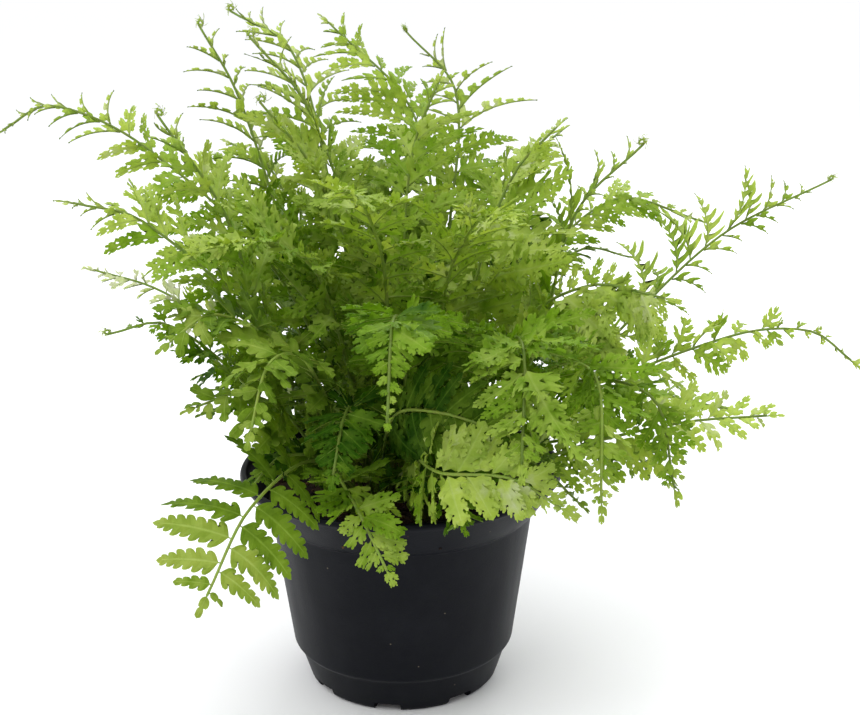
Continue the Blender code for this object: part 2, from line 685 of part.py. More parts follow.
def main():
    clear_scene()
    plastic = make_material("moulded_plastic", (0.018, 0.018, 0.02), 0.5)
    earth = make_material("peat_mix", (0.02, 0.014, 0.01), 0.95)
    greens = [
        make_material("frond_young", (0.36, 0.5, 0.07), 0.5),
        make_material("frond_mature", (0.16, 0.3, 0.03), 0.5),
    ]
    fronds = SHOWN + back_fronds()
    seats, clumps = seat_fronds(fronds)
    make_pot(plastic)
    make_mix(earth, clumps)
    paths, ribs = place_stalks(fronds, seats)
    kept = place_leaflets(fronds, paths, ribs)
    for number, frond in enumerate(fronds):
        path, outward = paths[number]
        green = greens[0] if frond.lobed or frond.crozier else greens[1]
        build_frond(number, frond, path, outward, kept, green)
    wanted = sum(frond.pairs * 2 for frond in fronds)
    short = sum(1 for choice in kept.values() if choice[1] < 1)
    print("fronds", len(fronds), "leaflets", len(kept), "of", wanted, "shortened", short)


main()
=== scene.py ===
# %% [markdown]
# A young Boston fern stands in its black nursery pot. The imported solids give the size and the
# place of every piece: a pot, a plug of potting mix and 55 fronds. This lesson keeps those
# places and grows the fine plant on them: thin lobed leaflets, called pinnae, on wiry ribs.

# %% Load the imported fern
import math
import random
from collections import namedtuple
from itertools import product

import bmesh
import bpy
import numpy as np
from mathutils import Matrix, Vector, noise
from mathutils.kdtree import KDTree


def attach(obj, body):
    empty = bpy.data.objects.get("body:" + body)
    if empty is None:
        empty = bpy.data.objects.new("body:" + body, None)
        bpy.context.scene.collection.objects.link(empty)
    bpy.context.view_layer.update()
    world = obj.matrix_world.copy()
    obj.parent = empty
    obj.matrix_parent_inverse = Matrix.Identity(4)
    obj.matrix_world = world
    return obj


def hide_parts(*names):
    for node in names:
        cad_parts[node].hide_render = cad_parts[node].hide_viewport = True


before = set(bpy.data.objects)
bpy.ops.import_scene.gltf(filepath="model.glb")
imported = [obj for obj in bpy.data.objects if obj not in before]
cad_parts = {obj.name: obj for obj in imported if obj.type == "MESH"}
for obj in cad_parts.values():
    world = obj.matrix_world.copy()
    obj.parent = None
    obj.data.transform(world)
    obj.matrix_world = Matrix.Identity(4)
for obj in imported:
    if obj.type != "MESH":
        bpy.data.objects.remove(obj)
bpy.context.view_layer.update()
MM = 0.001
print("nodes:", len(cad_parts))

# %% [markdown]
# Colours are picked as sRGB hex values, as in a paint program, but shaders count light, so each
# value is first turned to linear numbers. One small function adds every shader node: it takes
# the node's own settings and, for each socket, a value or the link that feeds it. Shorter ones
# stand on it for the kinds that come again and again: arithmetic, ranges, noise and mixes.

# %% Colour, node and mesh helpers
def linear(code):
    """Turns an sRGB hex value into linear red, green, blue and alpha."""
    parts = [int(code[k : k + 2], 16) / 255 for k in (1, 3, 5)]
    return (*[c / 12.92 if c <= 0.04045 else ((c + 0.055) / 1.055) ** 2.4 for c in parts], 1.0)


def add_node(tree, kind, inputs=None, **settings):
    """Adds a node with its settings. Each input is a value, or the socket that feeds it."""
    node = tree.nodes.new("ShaderNode" + kind)
    for name, value in settings.items():
        setattr(node, name, value)
    for name, value in (inputs or {}).items():
        if isinstance(value, bpy.types.NodeSocket):
            tree.links.new(value, node.inputs[name])
        else:
            node.inputs[name].default_value = value
    return node


def maths(tree, operation, *inputs):
    """One step of arithmetic on numbers or sockets."""
    return add_node(tree, "Math", dict(enumerate(inputs)), operation=operation).outputs[0]


def remap(tree, value, source=(0.0, 1.0), target=(0.0, 1.0), clamp=True):
    """Lays one range of values onto another."""
    limits = zip(("From Min", "From Max", "To Min", "To Max"), source + target)
    node = add_node(tree, "MapRange", {"Value": value, **dict(limits)}, clamp=clamp)
    return node.outputs["Result"]


def noise_of(tree, place, spacing, detail, **inputs):
    """Outputs of a noise whose blots lie about so many millimetres apart."""
    inputs = {"Scale": 1000 / spacing, "Detail": detail, "Vector": place, **inputs}
    return add_node(tree, "TexNoise", inputs).outputs


def mix_tones(tree, share, first, second, blend="MIX"):
    """A colour between two others."""
    inputs = {"Fac": share, "Color1": first, "Color2": second}
    return add_node(tree, "MixRGB", inputs, blend_type=blend).outputs["Color"]


def bumps(tree, height, strength, distance):
    """A surface broken by a height, whose distance is in metres."""
    inputs = {"Height": height, "Strength": strength, "Distance": distance}
    return add_node(tree, "Bump", inputs).outputs["Normal"]


def tone_ramp(tree, share, tones):
    """A ramp through colours, each given with its place from 0 to 1."""
    ramp = add_node(tree, "ValToRGB", {"Fac": share})
    while len(ramp.color_ramp.elements) < len(tones):
        ramp.color_ramp.elements.new(0.5)
    for mark, (place, code) in zip(ramp.color_ramp.elements, tones):
        mark.position = place
        mark.color = linear(code)
    return ramp.outputs["Color"]


def start_material(name, values):
    """A material with one Principled shader, whose constant sockets are set by name."""
    material = bpy.data.materials.new(name)
    material.use_nodes = True
    shader = material.node_tree.nodes["Principled BSDF"]
    for socket, value in values.items():
        shader.inputs[socket].default_value = value
    return material, material.node_tree, shader


def feed(tree, shader, sources):
    """Links a source into each named socket of a shader."""
    for name, source in sources.items():
        tree.links.new(source, shader.inputs[name])


def let_light_through(tree, shader, colour, share):
    """Makes a share of the surface pass light to its other side, in a colour."""
    through = add_node(tree, "BsdfTranslucent", {"Color": colour}).outputs["BSDF"]
    both = add_node(tree, "MixShader", {0: share, 1: shader.outputs["BSDF"], 2: through})
    feed(tree, tree.nodes["Material Output"], {"Surface": both.outputs["Shader"]})


def round_spot(radius, angle):
    """The x and y of a spot at a distance and an angle from the middle."""
    return radius * math.cos(angle), radius * math.sin(angle)


def tube_faces(rings, sides, first=0):
    """Quads between rings of points that follow one another."""
    spots = product(range(rings - 1), range(sides))
    pairs = [(first + row * sides + k, first + row * sides + (k + 1) % sides) for row, k in spots]
    return [(a, b, b + sides, a + sides) for a, b in pairs]


def make_piece(name, verts, faces, materials, kinds=None):
    """A smooth mesh from vertices in millimetres; kinds picks a material for each face."""
    mesh = bpy.data.meshes.new(name)
    mesh.from_pydata((np.asarray(verts, float) * MM).tolist(), [], faces)
    for material in materials:
        mesh.materials.append(material)
    if kinds is not None:
        mesh.polygons.foreach_set("material_index", kinds)
    mesh.shade_smooth()
    thing = bpy.data.objects.new(name, mesh)
    bpy.context.scene.collection.objects.link(thing)
    return thing


print("white is", [round(c, 3) for c in linear("#ffffff")])

# %% [markdown]
# The camera was found from the ellipses that the pot's rim, step and foot draw in the picture.
# It stands low in front of the pot, and looks down by about 16 degrees. A focal length in
# pixels turns into a lens in millimetres once the sensor is taken as 36 mm wide.

# %% Camera
FRAME_WIDTH = 860
FOCAL_PIXELS = 1366
SENSOR_WIDTH = 36.0
CAMERA_SPOT = (0.0105, -0.456, 0.248)
LOOK_DOWN, CAMERA_ROLL = 0.278, -0.008
CLIP_START = 0.01

camera_data = bpy.data.cameras.new("camera")
camera_data.sensor_width = SENSOR_WIDTH
camera_data.lens = SENSOR_WIDTH * FOCAL_PIXELS / FRAME_WIDTH
camera_data.clip_start = CLIP_START
camera = bpy.data.objects.new("camera", camera_data)
tilt = Matrix.Rotation(math.pi / 2 - LOOK_DOWN, 4, "X") @ Matrix.Rotation(CAMERA_ROLL, 4, "Z")
camera.matrix_world = Matrix.Translation(CAMERA_SPOT) @ tilt
bpy.context.scene.collection.objects.link(camera)
bpy.context.scene.camera = camera
print("lens", round(camera_data.lens, 2), "mm")

# %% [markdown]
# A product picture of a plant is taken on white paper under a broad light overhead. The room
# behind the camera is darker, and that is why black plastic stays black and the heart of the
# fronds stays deep. So the sky here is bright above and behind, and falls off toward the front.
# A broad lamp high on the left models the leaves, and one behind on the right lights their
# edges. The Standard view keeps greens as they are set.

# %% Studio: sky, lamps and floor
SKY_WHITE, SKY_MIDDLE, SKY_TOWARD_BACK, SKY_UPWARD = "#fbfcff", 0.60, 0.42, 0.72
PAPER_WHITE, FLOOR_REACH = "#fafafa", 30000.0
AIM = Vector((0, 0, 0.13))
# each lamp's place and breadth in metres, and its power in watts
LAMPS = {
    "lamp_key": ((-0.55, -0.62, 1.25), 1.2, 10.5),
    "lamp_back": ((0.35, 0.80, 1.10), 1.0, 7.0),
}

scene = bpy.context.scene
scene.view_settings.view_transform = "Standard"
world = bpy.data.worlds.new("studio")
world.use_nodes = True
tree = world.node_tree
sky = tree.nodes["Background"]
sky.inputs["Color"].default_value = linear(SKY_WHITE)
toward = add_node(tree, "TexCoord").outputs["Generated"]
parts = add_node(tree, "SeparateXYZ", {"Vector": toward}).outputs
back = maths(tree, "MULTIPLY_ADD", parts["Y"], SKY_TOWARD_BACK, SKY_MIDDLE)
feed(tree, sky, {"Strength": maths(tree, "MULTIPLY_ADD", parts["Z"], SKY_UPWARD, back)})
scene.world = world
for lamp_name, (spot, breadth, power) in LAMPS.items():
    lamp_data = bpy.data.lights.new(lamp_name, "AREA")
    lamp_data.shape = "DISK"
    lamp_data.size = breadth
    lamp_data.energy = power
    lamp = bpy.data.objects.new(lamp_name, lamp_data)
    lamp.location = spot
    lamp.rotation_euler = (AIM - Vector(spot)).to_track_quat("-Z", "Y").to_euler()
    scene.collection.objects.link(lamp)

paper, _, _ = start_material("studio_paper", {
    "Base Color": linear(PAPER_WHITE), "Roughness": 0.9, "Specular IOR Level": 0.1,
})
corners = [(-1, -1), (1, -1), (1, 1), (-1, 1)]
floor = make_piece("studio_floor", [(x * FLOOR_REACH, y * FLOOR_REACH, 0) for x, y in corners],
                   [(0, 1, 2, 3)], [paper])
print("lamps:", len(LAMPS))

# %% [markdown]
# The pot is black polypropylene, injection moulded: thin, light, and a little soft in its
# shine, because the mould is finely blasted. It isn't pure black, so its shine still models it.
# The shader gets a fine grain of about 0.6 mm, which is coarser than the real 0.1 mm so that it
# shows, long faint flow marks, and a few beige specks of dust from the mix.

# %% Moulded polypropylene
BLACK_PLASTIC, WORN_PLASTIC, DUST = "#0c0e14", "#191b20", "#6f6656"
GRAIN_MM, FLOW_MM, CLOUD_MM, SPECK_MM = 0.6, 9.0, 22.0, 9.0
FLOW_STRETCH = (1.0, 1.0, 0.12)
WORN_FROM, WORN_SHARES = (0.45, 0.8), (0.0, 0.6)
SPECK_RADIUS, SPECK_CORE, SPECK_SHARES = 0.035, 0.6, (0.0, 0.7)
PLASTIC_ROUGHNESS, PLASTIC_BUMP = (0.34, 0.56), (0.25, 0.0002)

plastic, tree, shader = start_material("moulded_polypropylene", {
    "IOR": 1.49, "Specular IOR Level": 0.1,
})
place = add_node(tree, "TexCoord").outputs["Object"]
grain = noise_of(tree, place, GRAIN_MM, detail=3.0)["Fac"]
stretched = add_node(tree, "Mapping", {"Scale": FLOW_STRETCH, "Vector": place}).outputs["Vector"]
flow = noise_of(tree, stretched, FLOW_MM, detail=4.0)["Fac"]
cloud = noise_of(tree, place, CLOUD_MM, detail=5.0, Roughness=0.65)["Fac"]
worn = remap(tree, cloud, WORN_FROM, WORN_SHARES)
wear = mix_tones(tree, worn, linear(BLACK_PLASTIC), linear(WORN_PLASTIC))
specks = add_node(tree, "TexVoronoi", {"Scale": 1000 / SPECK_MM, "Vector": place})
speck_from = (SPECK_RADIUS, SPECK_RADIUS * SPECK_CORE)
dust = remap(tree, specks.outputs["Distance"], speck_from, SPECK_SHARES)
feed(tree, shader, {
    "Base Color": mix_tones(tree, dust, wear, linear(DUST)),
    "Roughness": remap(tree, flow, target=PLASTIC_ROUGHNESS),
    "Normal": bumps(tree, grain, *PLASTIC_BUMP),
})
print("plastic nodes:", len(tree.nodes))

# %% [markdown]
# The pot's wall is a solid of revolution: one profile turned about the upright axis. The solid
# in the frame has 36 sides, and this one has 144 and small rounded corners, because moulded
# edges are never sharp and it is the rounding that catches the light. Each corner of the
# profile is replaced by a short curve before it is turned.

# %% Pot: profile
FOOT_RADIUS, FOOT_ROUND = 34.2, 1.2
STEP_RADIUS, STEP_HEIGHT = 38.0, 13.0
SKIRT_RADIUS, SKIRT_HEIGHT = 39.8, 14.6
NECK_RADIUS, NECK_HEIGHT = 46.6, 64.0
LIP_RADIUS, POT_HEIGHT, LIP_THICKNESS = 57.0, 79.0, 2.2
WALL, POT_FLOOR = 1.3, 1.8
COLLAR_OUT, COLLAR_UP = 1.4, 0.9
BEAD_OUT, BEAD_LOW, BEAD_HIGH, LIP_ROUND = 0.8, 2.6, 1.6, 0.6


def pot_inside(height):
    """The inner radius of the pot's wall at a height."""
    outline = [(FOOT_RADIUS, 0), (STEP_RADIUS, STEP_HEIGHT), (SKIRT_RADIUS, SKIRT_HEIGHT)]
    outline += [(NECK_RADIUS, NECK_HEIGHT), (LIP_RADIUS, POT_HEIGHT)]
    for (r_low, z_low), (r_high, z_high) in zip(outline, outline[1:]):
        if height <= z_high:
            return r_low + (r_high - r_low) * (height - z_low) / (z_high - z_low) - WALL
    return LIP_RADIUS - LIP_THICKNESS


# each corner is (radius, height, how far its rounding reaches)
POT_PROFILE = [
    (FOOT_RADIUS - FOOT_ROUND, 0, 0.5), (FOOT_RADIUS, FOOT_ROUND, 0.6),
    (STEP_RADIUS, STEP_HEIGHT, 0.7), (SKIRT_RADIUS, SKIRT_HEIGHT, 0.8),
    (NECK_RADIUS, NECK_HEIGHT, 0.8), (NECK_RADIUS + COLLAR_OUT, NECK_HEIGHT + COLLAR_UP, 0.7),
    (LIP_RADIUS - BEAD_OUT, POT_HEIGHT - BEAD_LOW, 0.6), (LIP_RADIUS, POT_HEIGHT - BEAD_HIGH, 0.6),
    (LIP_RADIUS - LIP_ROUND, POT_HEIGHT, 0.6), (LIP_RADIUS - LIP_THICKNESS, POT_HEIGHT, 0.5),
    (pot_inside(POT_HEIGHT - LIP_THICKNESS), POT_HEIGHT - LIP_THICKNESS, 0.8),
    (pot_inside(NECK_HEIGHT), NECK_HEIGHT, 1.0), (pot_inside(SKIRT_HEIGHT), SKIRT_HEIGHT, 0.6),
    (pot_inside(STEP_HEIGHT), STEP_HEIGHT, 0.6), (pot_inside(POT_FLOOR), POT_FLOOR, 0.8),
]
ROUNDING_POINTS = 4


def soften(profile, last):
    """Rounds the corners of a profile that starts and ends on the axis."""
    ends = [Vector((0, profile[0][1]))] + [Vector(p[:2]) for p in profile] + [Vector(last)]
    points = [ends[0]]
    for k, (_, _, reach) in enumerate(profile):
        before, corner, after = ends[k], ends[k + 1], ends[k + 2]
        start = corner + (before - corner).normalized() * reach
        end = corner + (after - corner).normalized() * reach
        for j in range(ROUNDING_POINTS + 1):
            u = j / ROUNDING_POINTS
            points.append(start.lerp(corner, u).lerp(corner.lerp(end, u), u))
    return points + [ends[-1]]


pot_line = soften(POT_PROFILE, (0, POT_FLOOR))
print("profile points:", len(pot_line))

# %% [markdown]
# Turning the profile is a double loop: one ring of points for each point of the profile, and
# quads between the rings. The drain notches in the foot are cut by boxes with rounded edges,
# as the mould's own blocks would have, with one Boolean modifier that is then applied.

# %% Pot: turn the wall and cut the drain notches
POT_SEGMENTS = 144
NOTCH_COUNT, NOTCH_FIRST, NOTCH_ANGLE = 8, -99.0, 16.0
NOTCH_HEIGHT, NOTCH_DEPTH, NOTCH_ROUND, NOTCH_ROUND_STEPS = 3.0, 5.0, 0.8, 3
SHARP_ANGLE = 40


def turn_profile(line, segments):
    """Vertices and faces of a profile of (radius, height) turned about the upright axis."""
    verts, rows, faces = [], [], []
    for radius, height in line:
        if radius == 0:
            rows.append([len(verts)] * segments)
            verts.append((0, 0, height))
            continue
        rows.append([len(verts) + k for k in range(segments)])
        for k in range(segments):
            verts.append((*round_spot(radius, 2 * math.pi * k / segments), height))
    for low, high in zip(rows, rows[1:]):
        for k in range(segments):
            ring = [low[k], low[(k + 1) % segments], high[(k + 1) % segments], high[k]]
            faces.append(list(dict.fromkeys(ring)))
    return verts, faces


def notch_blocks():
    """The mould's blocks, one for each notch, in one mesh with rounded edges."""
    work = bmesh.new()
    half = math.radians(NOTCH_ANGLE / 2)
    for k in range(NOTCH_COUNT):
        middle = math.radians(NOTCH_FIRST + 360 / NOTCH_COUNT * k)
        made = bmesh.ops.create_cube(work, size=1.0)["verts"]
        for vert in made:
            radius = FOOT_RADIUS + NOTCH_DEPTH * (1 if vert.co.x > 0 else -1)
            angle = middle + half * (1 if vert.co.y > 0 else -1)
            height = NOTCH_HEIGHT * (1 if vert.co.z > 0 else -1)
            vert.co = Vector((*round_spot(radius, angle), height)) * MM
    bmesh.ops.bevel(work, geom=list(work.edges), offset=NOTCH_ROUND * MM,
                    segments=NOTCH_ROUND_STEPS, affect="EDGES", profile=0.5)
    mesh = bpy.data.meshes.new("notch_blocks")
    work.to_mesh(mesh)
    work.free()
    thing = bpy.data.objects.new("notch_blocks", mesh)
    bpy.context.scene.collection.objects.link(thing)
    return thing


pot = make_piece("nursery_pot", *turn_profile(pot_line, POT_SEGMENTS), [plastic])
blocks = notch_blocks()
notches = pot.modifiers.new("notches", "BOOLEAN")
notches.operation = "DIFFERENCE"
notches.solver = "MANIFOLD"
notches.object = blocks
cut_mesh = bpy.data.meshes.new_from_object(
    pot.evaluated_get(bpy.context.evaluated_depsgraph_get())
)
pot.modifiers.clear()
pot.data = cut_mesh
bpy.data.objects.remove(blocks, do_unlink=True)
pot.data.shade_smooth()
pot.data.set_sharp_from_angle(angle=math.radians(SHARP_ANGLE))
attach(pot, "root")
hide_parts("pot")
print("pot faces:", len(pot.data.polygons))

# %% [markdown]
# Potting mix is peat with bits of bark and fibre. It is dark because it is damp, and dull
# because it is all small edges. The shader mixes near black with brown in patches of a few
# millimetres, and its bump breaks the surface at about 1 mm.

# %% Damp peat mix
PEAT_DARK, PEAT_BROWN, PEAT_FIBRE = "#17110d", "#3d2b1e", "#6b4f36"
CRUMB_MM, PATCH_MM = 1.1, 5.0
BROWN_FROM, PEAT_BUMP = (0.4, 0.65), (0.7, 0.0008)


def soil_material(name, dark, brown):
    """Dull, dark and broken: two colours in patches, with a coarse bump."""
    material, tree, shader = start_material(name, {"Roughness": 0.95, "Specular IOR Level": 0.25})
    place = add_node(tree, "TexCoord").outputs["Object"]
    crumbs = noise_of(tree, place, CRUMB_MM, detail=4.0)["Fac"]
    patches = noise_of(tree, place, PATCH_MM, detail=6.0)["Fac"]
    share = remap(tree, patches, BROWN_FROM)
    feed(tree, shader, {
        "Base Color": mix_tones(tree, share, linear(dark), linear(brown)),
        "Normal": bumps(tree, crumbs, *PEAT_BUMP),
    })
    return material


peat = soil_material("damp_peat", PEAT_DARK, PEAT_BROWN)
bark = soil_material("bark_and_fibre", PEAT_BROWN, PEAT_FIBRE)
print("peat nodes:", len(peat.node_tree.nodes))

# %% [markdown]
# The surface of the mix is a round sheet of rings whose height dishes toward the middle and
# rolls in lumps of noise. Loose crumbs and short fibres are then strewn over it by seeded
# draws. Each is a small form of its own, sunk by about a third, so that the mix isn't a skin.

# %% Potting mix: surface, crumbs and fibres
MIX_EDGE_HEIGHT, MIX_DISH, SEAT_GAP = 67.5, 2.0, 0.3
MIX_RINGS, MIX_SEGMENTS = 26, 96
MIX_LUMP, LUMP_MM, LUMPS_CALM = 1.5, 8.0, 1.1
LUMP_FALL, LUMP_FINER, LUMP_OCTAVES = 1.0, 2.0, 3
MIX_SEED = 5
CRUMB_COUNT, CRUMB_REACH, CRUMB_LARGEST = 620, 0.97, 1.7
CRUMB_SIZES, CRUMB_KNOBS, CRUMB_SHAPE = (0.4, 1.0), (0.7, 1.15), (1.3, 0.85, 0.6)
CRUMB_RISE, CRUMB_BARK, ANY_TURN = 0.25, 0.3, 6.3
FIBRE_COUNT, FIBRE_REACH, FIBRE_LENGTHS, FIBRE_POINTS = 90, 0.92, (1.5, 4.0), 4
# how a fibre winds sideways and up and down, as its waves and their size in mm
FIBRE_WIND, FIBRE_WAVE, FIBRE_RISE = (1.7, 0.3), (1.1, 0.5), 0.35
FIBRE_SECTION = ((0, 0, 0), (0.25, 0.2, 0.1), (0, 0.2, 0.3))
mix_edge = pot_inside(MIX_EDGE_HEIGHT) - SEAT_GAP


def mix_height(x, y):
    """Height of the mix at a spot inside the pot, in millimetres."""
    share = min(math.hypot(x, y) / mix_edge, 1.0)
    lump = noise.fractal(Vector((x, y, 0)) / LUMP_MM, LUMP_FALL, LUMP_FINER, LUMP_OCTAVES)
    dished = MIX_EDGE_HEIGHT - MIX_DISH * (1 - share * share)
    return dished + MIX_LUMP * lump * (LUMPS_CALM - share)


def mix_surface():
    """The plug of mix: plain sides down to the floor, and a lumpy top."""
    bottom = POT_FLOOR + SEAT_GAP
    line = [(0, bottom)]
    for height in (bottom, STEP_HEIGHT, SKIRT_HEIGHT, NECK_HEIGHT):
        line.append((pot_inside(height) - SEAT_GAP, height))
    for k in range(MIX_RINGS):
        line.append((mix_edge * (1 - k / MIX_RINGS), MIX_EDGE_HEIGHT))
    line.append((0, MIX_EDGE_HEIGHT))
    verts, faces = turn_profile(line, MIX_SEGMENTS)
    verts = [(x, y, mix_height(x, y) if z == MIX_EDGE_HEIGHT else z) for x, y, z in verts]
    return verts, faces


def small_ball():
    """Points and faces of a coarse ball of radius 1."""
    ball = bmesh.new()
    bmesh.ops.create_icosphere(ball, subdivisions=1, radius=1.0)
    points = [v.co.copy() for v in ball.verts]
    faces = [[v.index for v in f.verts] for f in ball.faces]
    ball.free()
    return points, faces


ball_points, ball_faces = small_ball()


def add_crumb(made, draw, spot, size, knobs, bark_share, shape=(1, 1, 1), turn=Matrix.Identity(3)):
    """Adds a knobbly ball to gathered vertices, faces and kinds: 0 is peat, and 1 is bark."""
    verts, faces, kinds = made
    first = len(verts)
    for point in ball_points:
        knob = draw.uniform(*knobs)
        shaped = Vector([a * b for a, b in zip(point, shape)]) * size * knob
        verts.append(tuple(spot + turn @ shaped))
    faces += [[first + i for i in face] for face in ball_faces]
    kinds += [1 if draw.random() < bark_share else 0] * len(ball_faces)


def add_fibre(made, draw):
    """Adds a bent sliver that lies loose on the mix."""
    verts, faces, kinds = made
    radius = mix_edge * FIBRE_REACH * math.sqrt(draw.random())
    angle, heading = draw.uniform(0, 2 * math.pi), draw.uniform(0, 2 * math.pi)
    x, y = round_spot(radius, angle)
    reach = draw.uniform(*FIBRE_LENGTHS)
    first = len(verts)
    for j in range(FIBRE_POINTS):
        along = reach * (j / (FIBRE_POINTS - 1) - 0.5)
        px = x + along * math.cos(heading) + math.sin(j * FIBRE_WIND[0]) * FIBRE_WIND[1]
        py = y + along * math.sin(heading)
        wave = FIBRE_WAVE[1] * math.sin(j * FIBRE_WAVE[0] + heading)
        lift = mix_height(px, py) + FIBRE_RISE + wave
        verts += [(px + a, py + b, lift + c) for a, b, c in FIBRE_SECTION]
    added = tube_faces(FIBRE_POINTS, len(FIBRE_SECTION), first)
    faces += added
    kinds += [1] * len(added)


def strew(draw, made):
    """Strews crumbs and fibres over the mix."""
    for _ in range(CRUMB_COUNT):
        radius = mix_edge * CRUMB_REACH * math.sqrt(draw.random())
        x, y = round_spot(radius, draw.uniform(0, 2 * math.pi))
        size = draw.uniform(*CRUMB_SIZES) ** 2 * CRUMB_LARGEST
        spin = Matrix.Rotation(draw.uniform(0, ANY_TURN), 3, "Z")
        turn = spin @ Matrix.Rotation(draw.uniform(0, ANY_TURN), 3, "X")
        spot = Vector((x, y, mix_height(x, y) + size * CRUMB_RISE))
        add_crumb(made, draw, spot, size, CRUMB_KNOBS, CRUMB_BARK, CRUMB_SHAPE, turn)
    for _ in range(FIBRE_COUNT):
        add_fibre(made, draw)


mix_verts, mix_faces = mix_surface()
mix_kinds = [0] * len(mix_faces)
strew(random.Random(MIX_SEED), (mix_verts, mix_faces, mix_kinds))
mix = make_piece("peat_surface", mix_verts, mix_faces, [peat, bark], mix_kinds)
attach(mix, "root")
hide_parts("potting_mix")
print("mix faces:", len(mix.data.polygons))

# %% [markdown]
# Watering has splashed a few crumbs of mix onto the flared collar, where they dried. They are
# the same knobbly balls, pressed a little into the wall. Most are dark, and about a third are
# pale bark.

# %% Crumbs on the collar
CRUMBS_ON_COLLAR, COLLAR_SEED = 34, 8
COLLAR_CRUMB_SIZES, COLLAR_CRUMB_KNOBS, COLLAR_CRUMB_BARK = (0.25, 0.6), (0.6, 1.3), 0.35
COLLAR_HEIGHTS = (NECK_HEIGHT + 2.5, POT_HEIGHT - 4)
COLLAR_FOOT = 1.2


def collar_crumbs(draw):
    """Vertices, faces and kinds of the crumbs."""
    made = ([], [], [])
    for _ in range(CRUMBS_ON_COLLAR):
        height, angle = draw.uniform(*COLLAR_HEIGHTS), draw.uniform(0, 2 * math.pi)
        share = (height - NECK_HEIGHT) / (POT_HEIGHT - NECK_HEIGHT)
        radius = NECK_RADIUS + COLLAR_FOOT + (LIP_RADIUS - NECK_RADIUS - COLLAR_FOOT) * share
        spot = Vector((*round_spot(radius, angle), height))
        size = draw.uniform(*COLLAR_CRUMB_SIZES)
        add_crumb(made, draw, spot, size, COLLAR_CRUMB_KNOBS, COLLAR_CRUMB_BARK)
    return made


crumb_verts, crumb_faces, crumb_kinds = collar_crumbs(random.Random(COLLAR_SEED))
crumbs = make_piece("collar_crumbs", crumb_verts, crumb_faces, [peat, bark], crumb_kinds)
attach(crumbs, "root")
print("crumb faces:", len(crumbs.data.polygons))

# %% [markdown]
# Every frond follows a way: a few points, in millimetres, that its rib runs through after it
# leaves the crown. The ways are the same ones that shape the solids, so that the fine fronds
# stay in their places. After the way come the longest leaflet, the roll of the blade about its
# own rib, the share that is bare stalk, and how many coarse leaflet pairs. Two sets then say by
# number which fronds are deeply lobed, and which still end in a coil.

# %% Frond ways: the ones that face the front
Frond = namedtuple("Frond", "way width roll bare pairs lobed crozier")


def new_frond(way, width, roll, bare, pairs, lobed=False, crozier=False):
    """A frond whose way is a list of vectors."""
    return Frond([Vector(p) for p in way], width, roll, bare, pairs, lobed, crozier)


